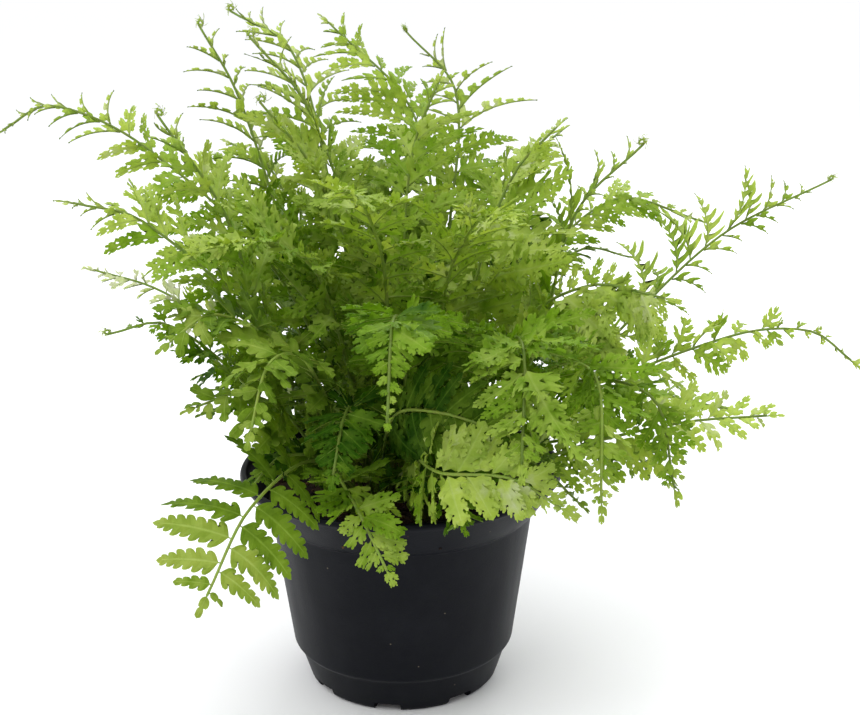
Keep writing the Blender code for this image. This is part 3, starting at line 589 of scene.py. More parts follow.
WAYS = [
    # long ones that reach far out to the left and right
    ([(-42, 8, 146), (-87, 14, 190), (-118, 14, 204), (-134, 12, 196)], 19, -40, 0.34, 10),
    ([(72, 12, 118), (114, 24, 155), (154, 30, 174)], 18, 40, 0.34, 10),
    ([(62, -6, 104), (112, -12, 128), (138, -14, 130), (152, -15, 120)], 19, 45, 0.32, 10),
    ([(-48, -24, 138), (-80, -30, 172), (-101, -31, 178)], 20, -40, 0.32, 8),
    ([(48, 32, 138), (80, 52, 164), (115, 60, 154)], 19, 35, 0.32, 9),
    # upright ones that lean back, seen face on
    ([(-42, 26, 160), (-58, 40, 206), (-71, 45, 229)], 20, 0, 0.32, 9),
    ([(-25, 40, 170), (-40, 62, 219), (-63, 70, 233)], 21, 0, 0.32, 9),
    ([(-14, 10, 150), (-31, 17, 203), (-50, 20, 226)], 19, 0, 0.32, 8),
    ([(-16, -2, 150), (-28, -1, 184), (-45, 0, 206)], 19, 0, 0.34, 8),
    ([(12, 46, 150), (4, 74, 196), (-28, 90, 228)], 21, 0, 0.32, 9),
    ([(18, 42, 155), (21, 68, 203), (2, 80, 225)], 20, 0, 0.32, 9),
    ([(36, 62, 140), (46, 86, 170), (64, 100, 184)], 20, 0, 0.32, 8),
    ([(48, 0, 122), (60, 0, 168), (82, 0, 191)], 19, 25, 0.32, 8),
    ([(-46, -12, 135), (-57, -12, 172), (-77, -10, 203)], 20, -25, 0.32, 9),
    # low and middle ones at the sides
    ([(-60, 34, 114), (-92, 50, 131), (-119, 60, 137)], 19, -20, 0.34, 8),
    ([(-50, -17, 112), (-76, -21, 136), (-95, -22, 133)], 20, -35, 0.32, 7),
    ([(52, -28, 92), (90, -41, 107), (117, -46, 111)], 19, 35, 0.34, 8),
    ([(54, 20, 88), (90, 20, 97), (119, 15, 93)], 18, 15, 0.34, 7),
    # front ones that hang toward the viewer
    ([(46, -36, 122), (60, -64, 130), (60, -86, 98)], 22, 20, 0.3, 8),
    ([(56, -28, 116), (80, -48, 118), (86, -60, 92)], 21, 25, 0.32, 7),
    ([(32, -34, 128), (38, -66, 140), (36, -96, 114)], 23, 10, 0.3, 8),
    ([(2, -44, 136), (0, -84, 152), (-1, -112, 132)], 24, 0, 0.3, 8),
    ([(4, -36, 94), (14, -74, 103), (34, -84, 105), (48, -87, 97)], 23, 25, 0.3, 7),
    ([(-27, -32, 92), (-45, -66, 89), (-56, -87, 70)], 26, -35, 0.32, 8),
    ([(-20, -38, 90), (-11, -68, 87), (-3, -79, 74)], 18, 0, 0.36, 6),
    ([(-28, -42, 128), (-37, -68, 136), (-41, -86, 121)], 22, -10, 0.3, 7),
    ([(-38, -32, 130), (-56, -48, 146), (-68, -58, 140)], 21, -20, 0.3, 7),
    ([(-36, -24, 104), (-50, -40, 118), (-63, -48, 116)], 20, -20, 0.3, 6),
    ([(-2, -38, 108), (14, -62, 118), (34, -72, 114)], 22, 30, 0.3, 6),
    # low ones that spill over the lip
    ([(-24, -28, 90), (-36, -44, 97), (-43, -56, 92)], 16, -10, 0.26, 5),
    ([(26, -26, 88), (44, -46, 95), (56, -60, 88)], 18, 15, 0.26, 5),
    ([(38, -12, 86), (64, -22, 95), (88, -28, 86)], 18, 15, 0.26, 6),
    ([(-38, -2, 90), (-54, -5, 102), (-66, -8, 101)], 17, -15, 0.28, 5),
    ([(10, -32, 86), (16, -56, 92), (20, -72, 86)], 17, 0, 0.26, 5),
    # inner ones that fill the heart of the plant
    ([(-4, -16, 150), (-10, -36, 178), (-14, -60, 186)], 21, 0, 0.32, 7),
    ([(16, -14, 146), (26, -34, 172), (34, -56, 176)], 21, 10, 0.32, 7),
    ([(28, 6, 150), (40, 12, 180), (54, 14, 195)], 19, 20, 0.32, 7),
    ([(2, 16, 160), (6, 24, 190), (14, 30, 209)], 19, 0, 0.32, 7),
    ([(-24, -20, 148), (-38, -36, 166), (-54, -48, 167)], 21, -15, 0.32, 7),
    ([(40, -16, 132), (62, -30, 150), (84, -40, 148)], 20, 25, 0.32, 7),
    ([(-14, -32, 108), (-16, -60, 116), (-18, -82, 106)], 20, 0, 0.3, 6),
]
LOBED = {19, 20, 21, 22, 23, 24, 25, 26, 27, 29, 34, 35, 36, 39, 41}
CURLED = {2, 6, 7, 8, 9, 11, 13, 14, 16}
SHOWN = [new_frond(*row, k in LOBED, k in CURLED) for k, row in enumerate(WAYS, 1)]
print("fronds in front:", len(SHOWN))

# %% [markdown]
# The back of the plant isn't in the picture. A fern grows alike all round, so the back is
# filled by a rule: three tiers of fronds spread evenly, with seeded draws for their small
# differences. The draws come in the same order as in the solids.

# %% Frond ways: the ones round the back
BACK_TIERS = ((6, 108.0, 94.0, 106.0), (5, 118.0, 144.0, 140.0), (3, 84.0, 180.0, 156.0))
BACK_FROM, BACK_TO = 24.0, 158.0
BACK_SEED = 11
BACK_SWING, BACK_LIFT, BACK_ROLL = 4.0, 6.0, 10.0
BACK_STRETCH = (0.92, 1.08)
NEAR_REACH, NEAR_RISE = 0.42, 0.86
FAR_REACH, FAR_RISE = 0.74, 0.52
BACK_WIDTH, BACK_BARE, BACK_PAIRS = 20.0, 0.3, 7


def back_fronds():
    """Fronds spread evenly round the back, tier by tier."""
    draw = random.Random(BACK_SEED)
    made = []
    for count, reach, tip_height, mid_height in BACK_TIERS:
        for k in range(count):
            share = (k + 0.5) / count
            swing = draw.uniform(-BACK_SWING, BACK_SWING)
            toward = math.radians(BACK_FROM + (BACK_TO - BACK_FROM) * share + swing)
            far = reach * draw.uniform(*BACK_STRETCH)
            high = tip_height + draw.uniform(-BACK_LIFT, BACK_LIFT)
            out = Vector((math.cos(toward), math.sin(toward), 0))
            way = [
                out * far * NEAR_REACH + Vector((0, 0, mid_height * NEAR_RISE)),
                out * far * FAR_REACH + Vector((0, 0, (mid_height + high) * FAR_RISE)),
                out * far + Vector((0, 0, high)),
            ]
            roll = draw.uniform(-BACK_ROLL, BACK_ROLL)
            made.append(new_frond(way, BACK_WIDTH, roll, BACK_BARE, BACK_PAIRS))
    return made


fronds = SHOWN + back_fronds()
print("fronds in all:", len(fronds))

# %% [markdown]
# A rib is a smooth curve through its points, measured by its length, so that leaflets can be
# set out by real distances. At any mark the curve gives a small frame: along the rib, out to
# its side, and up from its upper face. The crown seats the stalks four to a clump.

# %% Smooth curve, frame and seats
CURVE_STEPS = 14
DIRECTION_REACH = 1.5
ROLL_OVER = 0.5
CROWN_RINGS = ((9.5, 16), (22.5, 100))
CLUMP_SEATS, SEAT_SPREAD = 4, 1.9
CLUMP_DEPTH = 12.0
# a stalk first rises nearly straight, to 3 mm above the mix
STALK_RISE, STALK_LEAN = CLUMP_DEPTH + 3, 0.4


class Path:
    """A smooth curve through points, measured by its length."""

    def __init__(self, points):
        times = [0.0]
        for a, b in zip(points, points[1:]):
            times.append(times[-1] + (b - a).length)
        slopes = []
        for k in range(len(points)):
            low, high = max(k - 1, 0), min(k + 1, len(points) - 1)
            slopes.append((points[high] - points[low]) / (times[high] - times[low]))
        self.points = [points[0]]
        for k in range(len(points) - 1):
            span = times[k + 1] - times[k]
            for j in range(1, CURVE_STEPS + 1):
                u = j / CURVE_STEPS
                self.points.append(
                    points[k] * (2 * u**3 - 3 * u**2 + 1)
                    + slopes[k] * span * (u**3 - 2 * u**2 + u)
                    + points[k + 1] * (3 * u**2 - 2 * u**3)
                    + slopes[k + 1] * span * (u**3 - u**2)
                )
        self.marks = [0.0]
        for a, b in zip(self.points, self.points[1:]):
            self.marks.append(self.marks[-1] + (b - a).length)
        self.length = self.marks[-1]

    def at(self, mark):
        """The point at a mark, which is a distance along the curve."""
        mark = min(max(mark, 0.0), self.length)
        for k in range(len(self.marks) - 1):
            if mark <= self.marks[k + 1]:
                share = (mark - self.marks[k]) / (self.marks[k + 1] - self.marks[k])
                return self.points[k].lerp(self.points[k + 1], share)
        return self.points[-1]

    def along(self, mark):
        """The direction of the curve at a mark."""
        ahead, behind = self.at(mark + DIRECTION_REACH), self.at(mark - DIRECTION_REACH)
        return (ahead - behind).normalized()


def frame_at(path, mark, outward, roll):
    """Point, direction, side and upper face of the rib at a mark along its path."""
    along = path.along(mark)
    side = Vector((0, 0, 1)).cross(outward)
    side = (side - along * side.dot(along)).normalized()
    share = min(mark / path.length / ROLL_OVER, 1.0)
    side = Matrix.Rotation(math.radians(roll) * share, 3, along) @ side
    return path.at(mark), along, side, along.cross(side)


def seat_fronds(fronds):
    """Gives each frond its seat, four to a clump, the steep ones nearer the middle."""
    def slope(k):
        return fronds[k].way[0].xy.length / fronds[k].way[0].z

    def bearing(k):
        return math.atan2(fronds[k].way[0].y, fronds[k].way[0].x)

    steep = sorted(range(len(fronds)), key=slope)
    seats = {}
    start = 0
    for radius, most in CROWN_RINGS:
        ring = sorted(steep[start : start + most], key=bearing)
        start += most
        groups = math.ceil(len(ring) / CLUMP_SEATS)
        for g in range(groups):
            members = ring[g * len(ring) // groups : (g + 1) * len(ring) // groups]
            where = sum((fronds[k].way[0].xy.normalized() for k in members), Vector((0, 0)))
            out = where.normalized()
            across = Vector((-out.y, out.x))
            half = len(members) // 2
            for low, part in ((-1, members[:half]), (1, members[half:])):
                part = sorted(part, key=slope)
                for j, k in enumerate(part):
                    deep = (-1, 1)[j] if len(part) == 2 else 0
                    seats[k] = out * radius + (across * low + out * deep) * SEAT_SPREAD
    return seats


def frond_path(frond, seat, degrees, rise):
    """The rib's path when the way is turned about the pot's axis and raised a little."""
    spin = Matrix.Rotation(math.radians(degrees), 3, "Z")
    way = [spin @ p + Vector((0, 0, rise)) for p in frond.way]
    out = Vector((way[0].x, way[0].y, 0)).normalized()
    foot = Vector((seat.x, seat.y, MIX_EDGE_HEIGHT - MIX_DISH - CLUMP_DEPTH + SEAT_GAP))
    risen = foot + Vector((0, 0, STALK_RISE)) + out * STALK_LEAN
    outward = Vector((way[-1].x - foot.x, way[-1].y - foot.y, 0)).normalized()
    return Path([foot, risen] + way), outward


seats = seat_fronds(fronds)
print("seats:", len(seats))

# %% [markdown]
# In the solids each frond was turned or raised a little where its rib met another one, and
# each leaflet was tipped or shortened in the same way. The fine plant has to follow suit. So
# each try is made again here, and the one whose corners lie on the solid's own vertices is the
# one that was used. A tree of the vertices finds the nearest one quickly.

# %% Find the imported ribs
TURNS = (0, 2.5, -2.5, 5, -5, 7.5, -7.5, 10, -10, 14, -14, 18, -18, 23, -23)
RISES = (0, 5, -5, 9)
LIFTS = (0, 12, -12, 24, -24, 36, -36, 50, -50)
SHARES = (1.0, 0.78, 0.56, 0.36)
STALK_HALF, RIB_TIP_HALF, LEAF_HALF = 0.65, 0.42, 0.35
PITCH_EASE = 1.18
SAME_SPOT = 0.05


def rib_half(share):
    """Half the thickness of the solid rib at a share of its length."""
    return STALK_HALF + (RIB_TIP_HALF - STALK_HALF) * share


def leafy_mark(frond, path, place):
    """The mark of a place counted in coarse leaflet pairs from the first one."""
    bare = path.length * frond.bare
    eased = 1 - (1 - max(place, 0) / frond.pairs) ** PITCH_EASE
    return bare + (path.length - bare) * eased + min(place, 0) * path.length / frond.pairs


def vertex_tree(name):
    """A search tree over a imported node's vertices, in millimetres."""
    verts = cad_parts[name].data.vertices
    tree = KDTree(len(verts))
    for k, vert in enumerate(verts):
        tree.insert(vert.co / MM, k)
    tree.balance()
    return tree


def same_rib(tree, frond, path, outward):
    """Whether rings of this path's rib lie on the solid's vertices."""
    for place in (1, frond.pairs - 1):
        mark = leafy_mark(frond, path, place)
        middle, _, side, face = frame_at(path, mark, outward, frond.roll)
        half = rib_half(mark / path.length)
        if tree.find(middle + side * half + face * half)[2] > SAME_SPOT:
            return False
    return True


def packed_rib(number, tree):
    """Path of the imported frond, and the way that it faces."""
    frond = fronds[number]
    for rise, degrees in product(RISES, TURNS):
        path, outward = frond_path(frond, seats[number], degrees, rise)
        if same_rib(tree, frond, path, outward):
            return path, outward
    raise RuntimeError(f"no path fits frond {number + 1}")


node_names = [f"frond_{k + 1:02d}" for k in range(len(fronds))]
trees = [vertex_tree(name) for name in node_names]
ribs = [packed_rib(k, trees[k]) for k in range(len(fronds))]
print("ribs found:", len(ribs), "longest", round(max(path.length for path, _ in ribs)), "mm")

# %% [markdown]
# The same search finds how each coarse leaflet was tipped about the rib, and how far it was
# shortened. A leaflet that matches no try was left out of the solid, and stays out here.

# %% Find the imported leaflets
FOOT_SHARE, FOOT_GAIN = 0.62, 1.5
TAPER_POWER, TAPER_ROUND = 2.4, 0.8
LEAST_LENGTH, SMALL_LEAFLET = 1.2, 7.5
BASE_SWEEP, TIP_SWEEP = 14.0, 42.0
DROOP = 0.16
LEAFLET_GAP = 0.13
PEAK_FORWARD = 0.1


def leaflet_length(width, share):
    """Length of a leaflet at a share of the leafy stretch, from its foot to its tip."""
    foot = min(1.0, FOOT_SHARE + FOOT_GAIN * share)
    return width * foot * (1 - share**TAPER_POWER) ** TAPER_ROUND + LEAST_LENGTH


def leafy_share(frond, path, mark):
    """The share of the leafy stretch that lies before a mark."""
    bare = path.length * frond.bare
    return (mark - bare) / (path.length - bare)


def packed_leaflets(number, tree):
    """The lift and the kept share of each coarse leaflet, by its pair and its side."""
    frond = fronds[number]
    path, outward = ribs[number]
    found = {}
    for k in range(frond.pairs):
        low, high = leafy_mark(frond, path, k), leafy_mark(frond, path, k + 1)
        share = leafy_share(frond, path, (low + high) / 2)
        sweep = math.radians(BASE_SWEEP + (TIP_SWEEP - BASE_SWEEP) * share)
        middle, along, side, face = frame_at(path, (low + high) / 2, outward, frond.roll)
        half = rib_half(share)
        full = leaflet_length(frond.width, share)
        for sign, kept, lift in product((1, -1), SHARES, LIFTS):
            if (k, sign) in found:
                continue
            length = full * kept
            ahead = 0 if length < SMALL_LEAFLET else PEAK_FORWARD * (high - low) * (
                0.5 - LEAFLET_GAP)
            angle = math.radians(lift)
            out = side * sign * math.cos(angle) + face * math.sin(angle)
            normal = along.cross(out) * sign
            sag = DROOP * length * length / max(length, 1)
            tip = middle + along * (ahead + length * math.tan(sweep)) + out * (half + length)
            if tree.find(tip + normal * (LEAF_HALF - sag))[2] < SAME_SPOT:
                found[k, sign] = (lift, kept)
    return found


leaflets = [packed_leaflets(k, trees[k]) for k in range(len(fronds))]
print("coarse leaflets found:", sum(len(found) for found in leaflets))

# %% [markdown]
# The pinnae of this fern differ from frond to frond. Old ones have a scalloped edge, those of
# the heart are broad and cut like parsley, outer ones look like small oak leaves, and the
# youngest are almost nothing but narrow lobes on a wire. One drawing routine makes them all
# from the same few numbers, and the table gives one row of them to each habit.

# %% Habits of the pinnae
Habit = namedtuple("Habit", [
    "space",  # mm from one pinna to the next along the rib
    "broad",  # breadth over length
    "lobe",   # mm from one lobe to the next
    "cut",    # how deep the notches go
    "fill",   # breadth of a lobe over its spacing
    "rim",    # shape of a lobe
    "lean",   # degrees that a lobe leans toward the pinna's tip
    "low",    # size of the lobes on the side toward the frond's foot
    "ear",    # extra size of the first lobe
    "wave",   # how far lobes tip out of the plane
    "foot",   # breadth at the rib over the broadest
    "late",   # how late the pinna tapers
    "arc",    # degrees that it starts steeper than it ends
    "fold",   # how far its halves fold up
    "level",  # how far it turns to the level
    "reach",  # its length over that of the solid leaflet
    "wild",   # how much pinnae differ in every way
    "gaps",   # share of the lobes that stay tiny
    "wire",   # thickness of its own rib over the usual
])
HABIT_TABLE = """
name    space broad lobe cut  fill rim     lean low  ear  wave foot late arc fold level reach wild gaps wire
oak     7.2   0.42  3.6  0.66 0.95 finger  32   0.85 0.2  0.35 0.6  2.0  4   0.3  0.0   1.0   0.6  0.05 1.0
scallop 8.6   0.38  2.7  0.42 0.98 round   24   0.95 0.2  0.22 0.9  2.3  -7  0.2  0.0   1.08  0.25 0.0  1.0
lappet  5.0   0.42  2.9  0.45 1.0  round   22   0.95 0.2  0.2  0.9  2.2  -4  0.2  0.0   0.85  0.25 0.0  1.0
broad   5.4   0.62  3.6  0.5  1.06 toothed 34   0.85 0.2  0.4  0.8  2.2  4   0.3  0.0   0.8   0.7  0.0  1.0
sprig   5.2   0.6   3.2  0.66 1.05 toothed 36   0.85 0.2  0.4  0.7  2.2  4   0.3  0.0   0.72  0.7  0.05 1.0
smooth  6.4   0.5   3.5  0.58 1.02 round   30   0.85 0.2  0.45 0.8  2.0  4   0.4  0.0   1.0   0.9  0.0  1.0
parsley 5.8   0.56  3.6  0.72 1.1  toothed 34   0.85 0.2  0.6  0.8  1.8  4   0.5  0.0   1.05  1.0  0.02 1.0
curly   6.0   0.46  3.1  0.76 1.08 toothed 36   0.85 0.2  0.8  0.85 1.6  10  0.6  0.0   1.1   1.0  0.02 1.0
wiry    8.4   0.4   4.3  0.92 0.92 thumb   28   0.2  0.35 0.3  1.0  1.1  20  0.3  0.45  1.3   0.5  0.15 1.7
leafy   6.8   0.42  3.8  0.74 1.06 toothed 34   0.65 0.2  0.5  0.8  1.7  14  0.5  0.3   1.2   0.8  0.05 1.3
dense   5.0   0.52  3.8  0.5  1.1  toothed 32   0.85 0.2  0.5  0.85 2.0  4   0.4  0.0   1.05  0.8  0.0  1.0
open    8.0   0.38  4.2  0.82 1.0  toothed 32   0.5  0.3  0.4  0.9  1.4  16  0.4  0.35  1.3   0.7  0.08 1.5
spread  6.4   0.46  3.6  0.76 1.06 toothed 32   0.8  0.2  0.6  0.8  1.7  -8  0.4  0.3   1.2   0.8  0.05 1.0
tuft    5.2   0.52  3.2  0.74 1.06 toothed 36   0.75 0.2  0.5  0.7  1.8  8   0.6  0.0   1.15  1.0  0.08 1.3
fan     6.6   0.75  3.3  0.8  0.95 toothed 40   0.75 0.2  0.5  0.6  1.8  8   0.6  0.0   0.65  1.0  0.1  1.3
small   4.6   0.46  2.6  0.72 1.0  finger  34   0.85 0.2  0.55 0.7  1.8  8   0.5  0.0   0.8   0.9  0.05 1.0
feather 7.8   0.78  3.6  0.94 0.82 blade   50   0.25 0.0  0.5  0.6  1.5  24  0.5  0.0   1.08  0.7  0.05 1.5
"""
# the first word of a row names the habit, and every other one but the rim is a number
HABITS = {}
for line in HABIT_TABLE.splitlines()[2:]:
    name, *cells = line.split()
    HABITS[name] = Habit(*[float(c) if c[-1].isdigit() else c for c in cells])
# habit by frond number; the rest are parsley
MEMBERS = {
    "scallop": {24, 33, 46},
    "oak": {17, 18, 32, 42, 47},
    "dense": {43, 44, 45, 49, 50, 51, 54},
    "broad": {22, 23, 41},
    "sprig": {25},
    "smooth": {26, 27, 28},
    "lappet": {29},
    "curly": {9, 21, 34, 35, 36, 39, 40, 52},
    "small": {19, 20, 31},
    "wiry": {1, 4, 6, 7, 8, 11, 13, 14},
    "leafy": {5, 48, 53, 55},
    "open": {10, 12, 38},
    "spread": {37},
    "fan": {3, 15, 16},
    "feather": {2},
}
# the share of the leafy stretch, counted from the tip, whose pinnae are still short
TAILS = {
    1: 0.45, 2: 0.30, 3: 0.40, 4: 0.22, 5: 0.25, 11: 0.38, 13: 0.28, 16: 0.40, 22: 0.35,
    31: 0.50,
}
LEAST_TAIL = 0.25
# wiry fronds carry leafy and tufted pinnae by turns up to a share of their leafy stretch: the
# usual one, and others
LOW_HABITS = ("leafy", "tuft")
USUAL_LEAFY = 0.42
LEAFY_TO = {1: 0.62, 4: 0.8, 8: 0.6, 11: 0.55, 14: 0.76}
# reach of the pinnae over that of the solid leaflets, at three places along a frond
REACH_PLACES = (0.0, 0.45, 1.0)
REACH_ALONG = {
    1: (1.1, 1.05, 1.0), 2: (1.2, 1.0, 0.8), 3: (1.3, 1.1, 1.0), 4: (0.8, 1.15, 1.3),
    5: (0.35, 0.7, 1.2), 12: (1.4, 0.8, 0.5), 13: (0.8, 0.8, 1.0), 14: (1.2, 1.1, 1.0),
    16: (1.4, 1.2, 1.0), 22: (1.4, 1.2, 0.8), 24: (0.48, 0.84, 1.9), 28: (1.1, 1.2, 1.2),
    30: (0.6, 0.65, 0.7), 33: (0.5, 0.6, 0.8), 37: (0.6, 1.4, 0.8), 38: (1.3, 1.3, 1.2),
    42: (0.8, 0.8, 0.8), 48: (0.35, 0.4, 0.2),
}
# reach of the pinnae on one side only, as frond and side, and of the one at the end as side 0
SIDE_REACH = {
    (2, 1): 1.25, (2, -1): 0.6, (4, 1): 0.85, (8, 1): 1.2, (8, -1): 1.2, (10, 1): 1.2,
    (10, -1): 1.05, (11, 1): 0.85, (11, -1): 1.35, (13, 1): 1.9, (13, -1): 0.35, (22, -1): 0.85,
    (22, 0): 0.4, (24, 1): 0.88, (25, 1): 1.35, (26, 1): 0.65, (37, -1): 1.35, (39, -1): 1.5,
    (40, 1): 0.5, (40, -1): 1.7,
}
# fronds that lie low over the lip and leave the mix in sight: no pinnae near their foot
OPEN_FEET = {24, 25, 30, 31, 33, 34, 41}
# degrees that a frond's pinnae lean toward its tip, more or less than the others'
SWEPT = {24: -22}
# fronds of the heart whose rib is as green as the blade
GREEN_RIBS = {20, 21, 22, 41}
# degrees that a blade is tipped about its rib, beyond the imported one, to face the front
TIPPED = {23: 42, 29: 35, 40: 40}
# age of each frond: below 0 pale, 0 fresh yellow green, 1 old and dark green; it is partly real
# age and partly painted shade, as fronds of the heart and round the back are set older and darker
AGES_AND_SHADE = [
    0.10, 0.20, 0.12, 0.24, 0.18, 0.03, 0.05, 0.08, 0.14, 0.22, 0.08, 0.10, 0.12, 0.20, -0.20,
    0.60, 0.05, 0.16, 0.36, 0.46, 0.40, 0.60, 0.08, 0.46, 0.36, 0.50, 0.50, 0.50, 0.84, 0.98,
    0.60, 0.50, 0.86, 0.85, 0.20, 0.10, 0.10, 0.28, 0.28, 0.12, 1.00, 0.85, 1.00, 1.00, 1.00,
    1.00, 0.95, 0.50, 0.80, 0.85, 0.75, 0.50, 0.18, 0.50, 0.16,
]


def habit_of(number):
    """The habit of a frond by its number in the list, which starts at 1."""
    for name, members in MEMBERS.items():
        if number in members:
            return HABITS[name]
    return HABITS["parsley"]


print("ages:", len(AGES_AND_SHADE))

# %% [markdown]
# A pinna is first drawn flat. Each lobe is a fan of triangles round a middle point, which lies
# a little higher than the rim, so that a lobe is slightly puffed like a real one. Beside the
# place of each point the drawing keeps two values for the shader: how far it lies from midrib
# to edge, and where it lies between two lobes.

# %% Draw one pinna flat
# the rim of a lobe as points (across it from -1 to 1, from its notches at 0 to its tip at 1)
LOBE_RIMS = {
    "round": ((-0.96, 0.25), (-0.78, 0.70), (-0.32, 0.96), (0.32, 0.97), (0.78, 0.72),
              (0.96, 0.25)),
    "finger": ((-0.70, 0.10), (-0.95, 0.55), (-0.80, 0.85), (-0.30, 1.00), (0.30, 0.99),
               (0.78, 0.80), (0.85, 0.45), (0.60, 0.10)),
    "toothed": ((-0.60, 0.12), (-1.00, 0.50), (-0.95, 0.78), (-0.60, 0.68), (-0.45, 0.95),
                (0.00, 1.00), (0.22, 0.76), (0.55, 0.92), (0.88, 0.74), (0.95, 0.45),
                (0.60, 0.12)),
    "thumb": ((-0.30, 0.00), (-0.72, 0.40), (-0.85, 0.72), (-0.60, 0.95), (-0.10, 1.00),
              (0.12, 0.88), (0.40, 0.97), (0.74, 0.78), (0.62, 0.35), (0.30, 0.00)),
    "blade": ((-0.40, 0.00), (-0.85, 0.30), (-0.80, 0.65), (-0.35, 0.94), (0.05, 1.00),
              (0.35, 0.70), (0.50, 0.25), (0.35, 0.00)),
}
FIRST_LOBE, LAST_LOBE, LOBE_EASE = 0.03, 0.90, 1.15
LOBE_HEART, PUFF = 0.45, 0.12
LEAST_HALF, LEAST_WING, LEAST_REACH = 0.9, 0.2, 0.3
SWELL_TO = 0.25
TINY_LOBE = 0.3
# how much a wild pinna may differ in its lobes and its breadth, and any lobe in its reach
LOBE_SPREAD, NARROWER, BROADER = 0.2, 0.2, 0.15
REACH_SPREAD, RIM_SPREAD, CRIMP, RIM_DROP = (0.85, 1.12), (0.94, 1.04), 0.3, 0.05
TIP_REACH, TIP_HALF = 0.55, 0.5
# values for the shader: at a lobe's middle, along its rim, across it, and at the tip's shoulders
HEART_LOOK, RIM_LOOK, ACROSS_LOOK, TIP_LOOK = 0.5, 0.75, 0.4, 0.9


def draw_pinna(length, habit, draw):
    """One pinna laid flat: points (along, toward the frond's tip, up) in mm, faces, looks."""
    wild = habit.wild
    lobe = habit.lobe * draw.uniform(1 - LOBE_SPREAD * wild, 1 + LOBE_SPREAD * wild)
    lobes = max(2, round(length * (LAST_LOBE - FIRST_LOBE) / lobe))
    stations = []
    for k in range(lobes + 1):
        eased = 1 - (1 - k / lobes) ** LOBE_EASE
        stations.append(length * (FIRST_LOBE + (LAST_LOBE - FIRST_LOBE) * eased))
    broad = habit.broad * draw.uniform(1 - NARROWER * wild, 1 + BROADER * wild)
    half = max(broad * length / 2, LEAST_HALF)
    fold = draw.uniform(0, habit.fold)
    lean = math.tan(math.radians(habit.lean))
    points = [(x, 0.0, 0.0) for x in stations] + [(length, 0.0, 0.0)]
    looks = [(0.0, float(k)) for k in range(lobes + 1)] + [(1.0, lobes)]
    faces = []
    tip = lobes + 1
    for side in (1, -1):
        reaches, tips = [], []
        for k in range(lobes):
            t = (stations[k] + stations[k + 1]) / 2 / length
            swell = habit.foot + (1 - habit.foot) * min(1.0, t / SWELL_TO)
            taper = (1 - t**habit.late) ** TAPER_ROUND
            reach = half * swell * taper * draw.uniform(*REACH_SPREAD) + LEAST_REACH
            if side < 0:
                reach *= habit.low
            elif k == 0:
                reach *= 1 + habit.ear
            if draw.random() < habit.gaps:
                reach *= TINY_LOBE
            reaches.append(reach)
            tips.append(draw.uniform(-habit.wave, habit.wave))
        notches, depths = [], []
        for k in range(lobes + 1):
            near = slice(max(k - 1, 0), k + 1)
            deep = max(min(reaches[near]) * (1 - habit.cut), LEAST_WING)
            if k == 0:
                deep = LEAST_WING
            depths.append(deep)
            notches.append(len(points))
            height = deep * (fold + sum(tips[near]) / len(tips[near]))
            points.append((stations[k] + deep * lean, side * deep, height))
            looks.append((deep / max(reaches[near]), float(k)))
        for k in range(lobes):
            pitch = stations[k + 1] - stations[k]
            middle = (stations[k] + stations[k + 1]) / 2
            reach, low = reaches[k], (depths[k] + depths[k + 1]) / 2
            heart = len(points)
            y = low + (reach - low) * LOBE_HEART
            points.append((middle + y * lean, side * y, y * (tips[k] + fold) + PUFF * pitch))
            looks.append((HEART_LOOK, k + 0.5))
            ring = [k, notches[k]]
            for b, f in LOBE_RIMS[habit.rim]:
                y = low + (reach - low) * f * draw.uniform(*RIM_SPREAD)
                crimp = draw.uniform(-CRIMP, CRIMP) * habit.wave * y
                ring.append(len(points))
                points.append((middle + y * lean + b * pitch / 2 * habit.fill, side * y,
                               y * (tips[k] + fold - RIM_DROP) + crimp))
                rim_look = RIM_LOOK + (1 - RIM_LOOK) * f
                looks.append((rim_look, k + 0.5 + ACROSS_LOOK * b))
            ring += [notches[k + 1], k + 1]
            for a, b in zip(ring, ring[1:] + ring[:1]):
                faces.append((heart, a, b) if side > 0 else (heart, b, a))
        shoulder = len(points)
        rise = (length - stations[-1]) * TIP_REACH
        points.append((stations[-1] + rise, side * max(reaches[-1] * TIP_HALF, LEAST_WING), 0.0))
        looks.append((TIP_LOOK, lobes))
        for a, b in ((notches[-1], shoulder), (shoulder, tip)):
            faces.append((lobes, a, b) if side > 0 else (lobes, b, a))
    return np.array(points), faces, np.array(looks, float)


trial = draw_pinna(22.0, HABITS["parsley"], random.Random(1))
print("a 22 mm parsley pinna has", len(trial[1]), "triangles")

# %% [markdown]
# The flat drawing is then bent into place. A pinna droops along its length like a ribbon, bows
# toward the tip of the frond, and twists a little. Bending along an arc of a circle keeps its
# length, so that a drooping pinna doesn't stretch.

# %% Bend a pinna into place
LEAST_BEND = 0.02
Stance = namedtuple("Stance", "root out ahead up length bend bow twist roll")


def bend_pinna(flat, stance):
    """Moves flat points into place: bend, twist and roll in radians, bow in mm at the tip."""
    x, y, z = flat.T
    length, out = stance.length, np.array(stance.out)
    cos_roll, sin_roll = math.cos(stance.roll), math.sin(stance.roll)
    up = np.array(stance.up) * cos_roll - np.array(stance.ahead) * sin_roll
    ahead = np.array(stance.ahead) * cos_roll + np.array(stance.up) * sin_roll
    curve = (stance.bend if abs(stance.bend) > LEAST_BEND else LEAST_BEND) / length
    run, fall = np.sin(curve * x) / curve, (1 - np.cos(curve * x)) / curve
    normal = np.outer(np.cos(curve * x), up) + np.outer(np.sin(curve * x), out)
    turn = stance.twist * x / length
    across = np.outer(np.cos(turn), ahead) + normal * np.sin(turn)[:, None]
    normal = normal * np.cos(turn)[:, None] - np.outer(np.sin(turn), ahead)
    spine = np.array(stance.root) + np.outer(run, out) - np.outer(fall, up)
    spine = spine + np.outer(stance.bow * (x / length) ** 2, ahead)
    return spine + across * y[:, None] + normal * z[:, None]


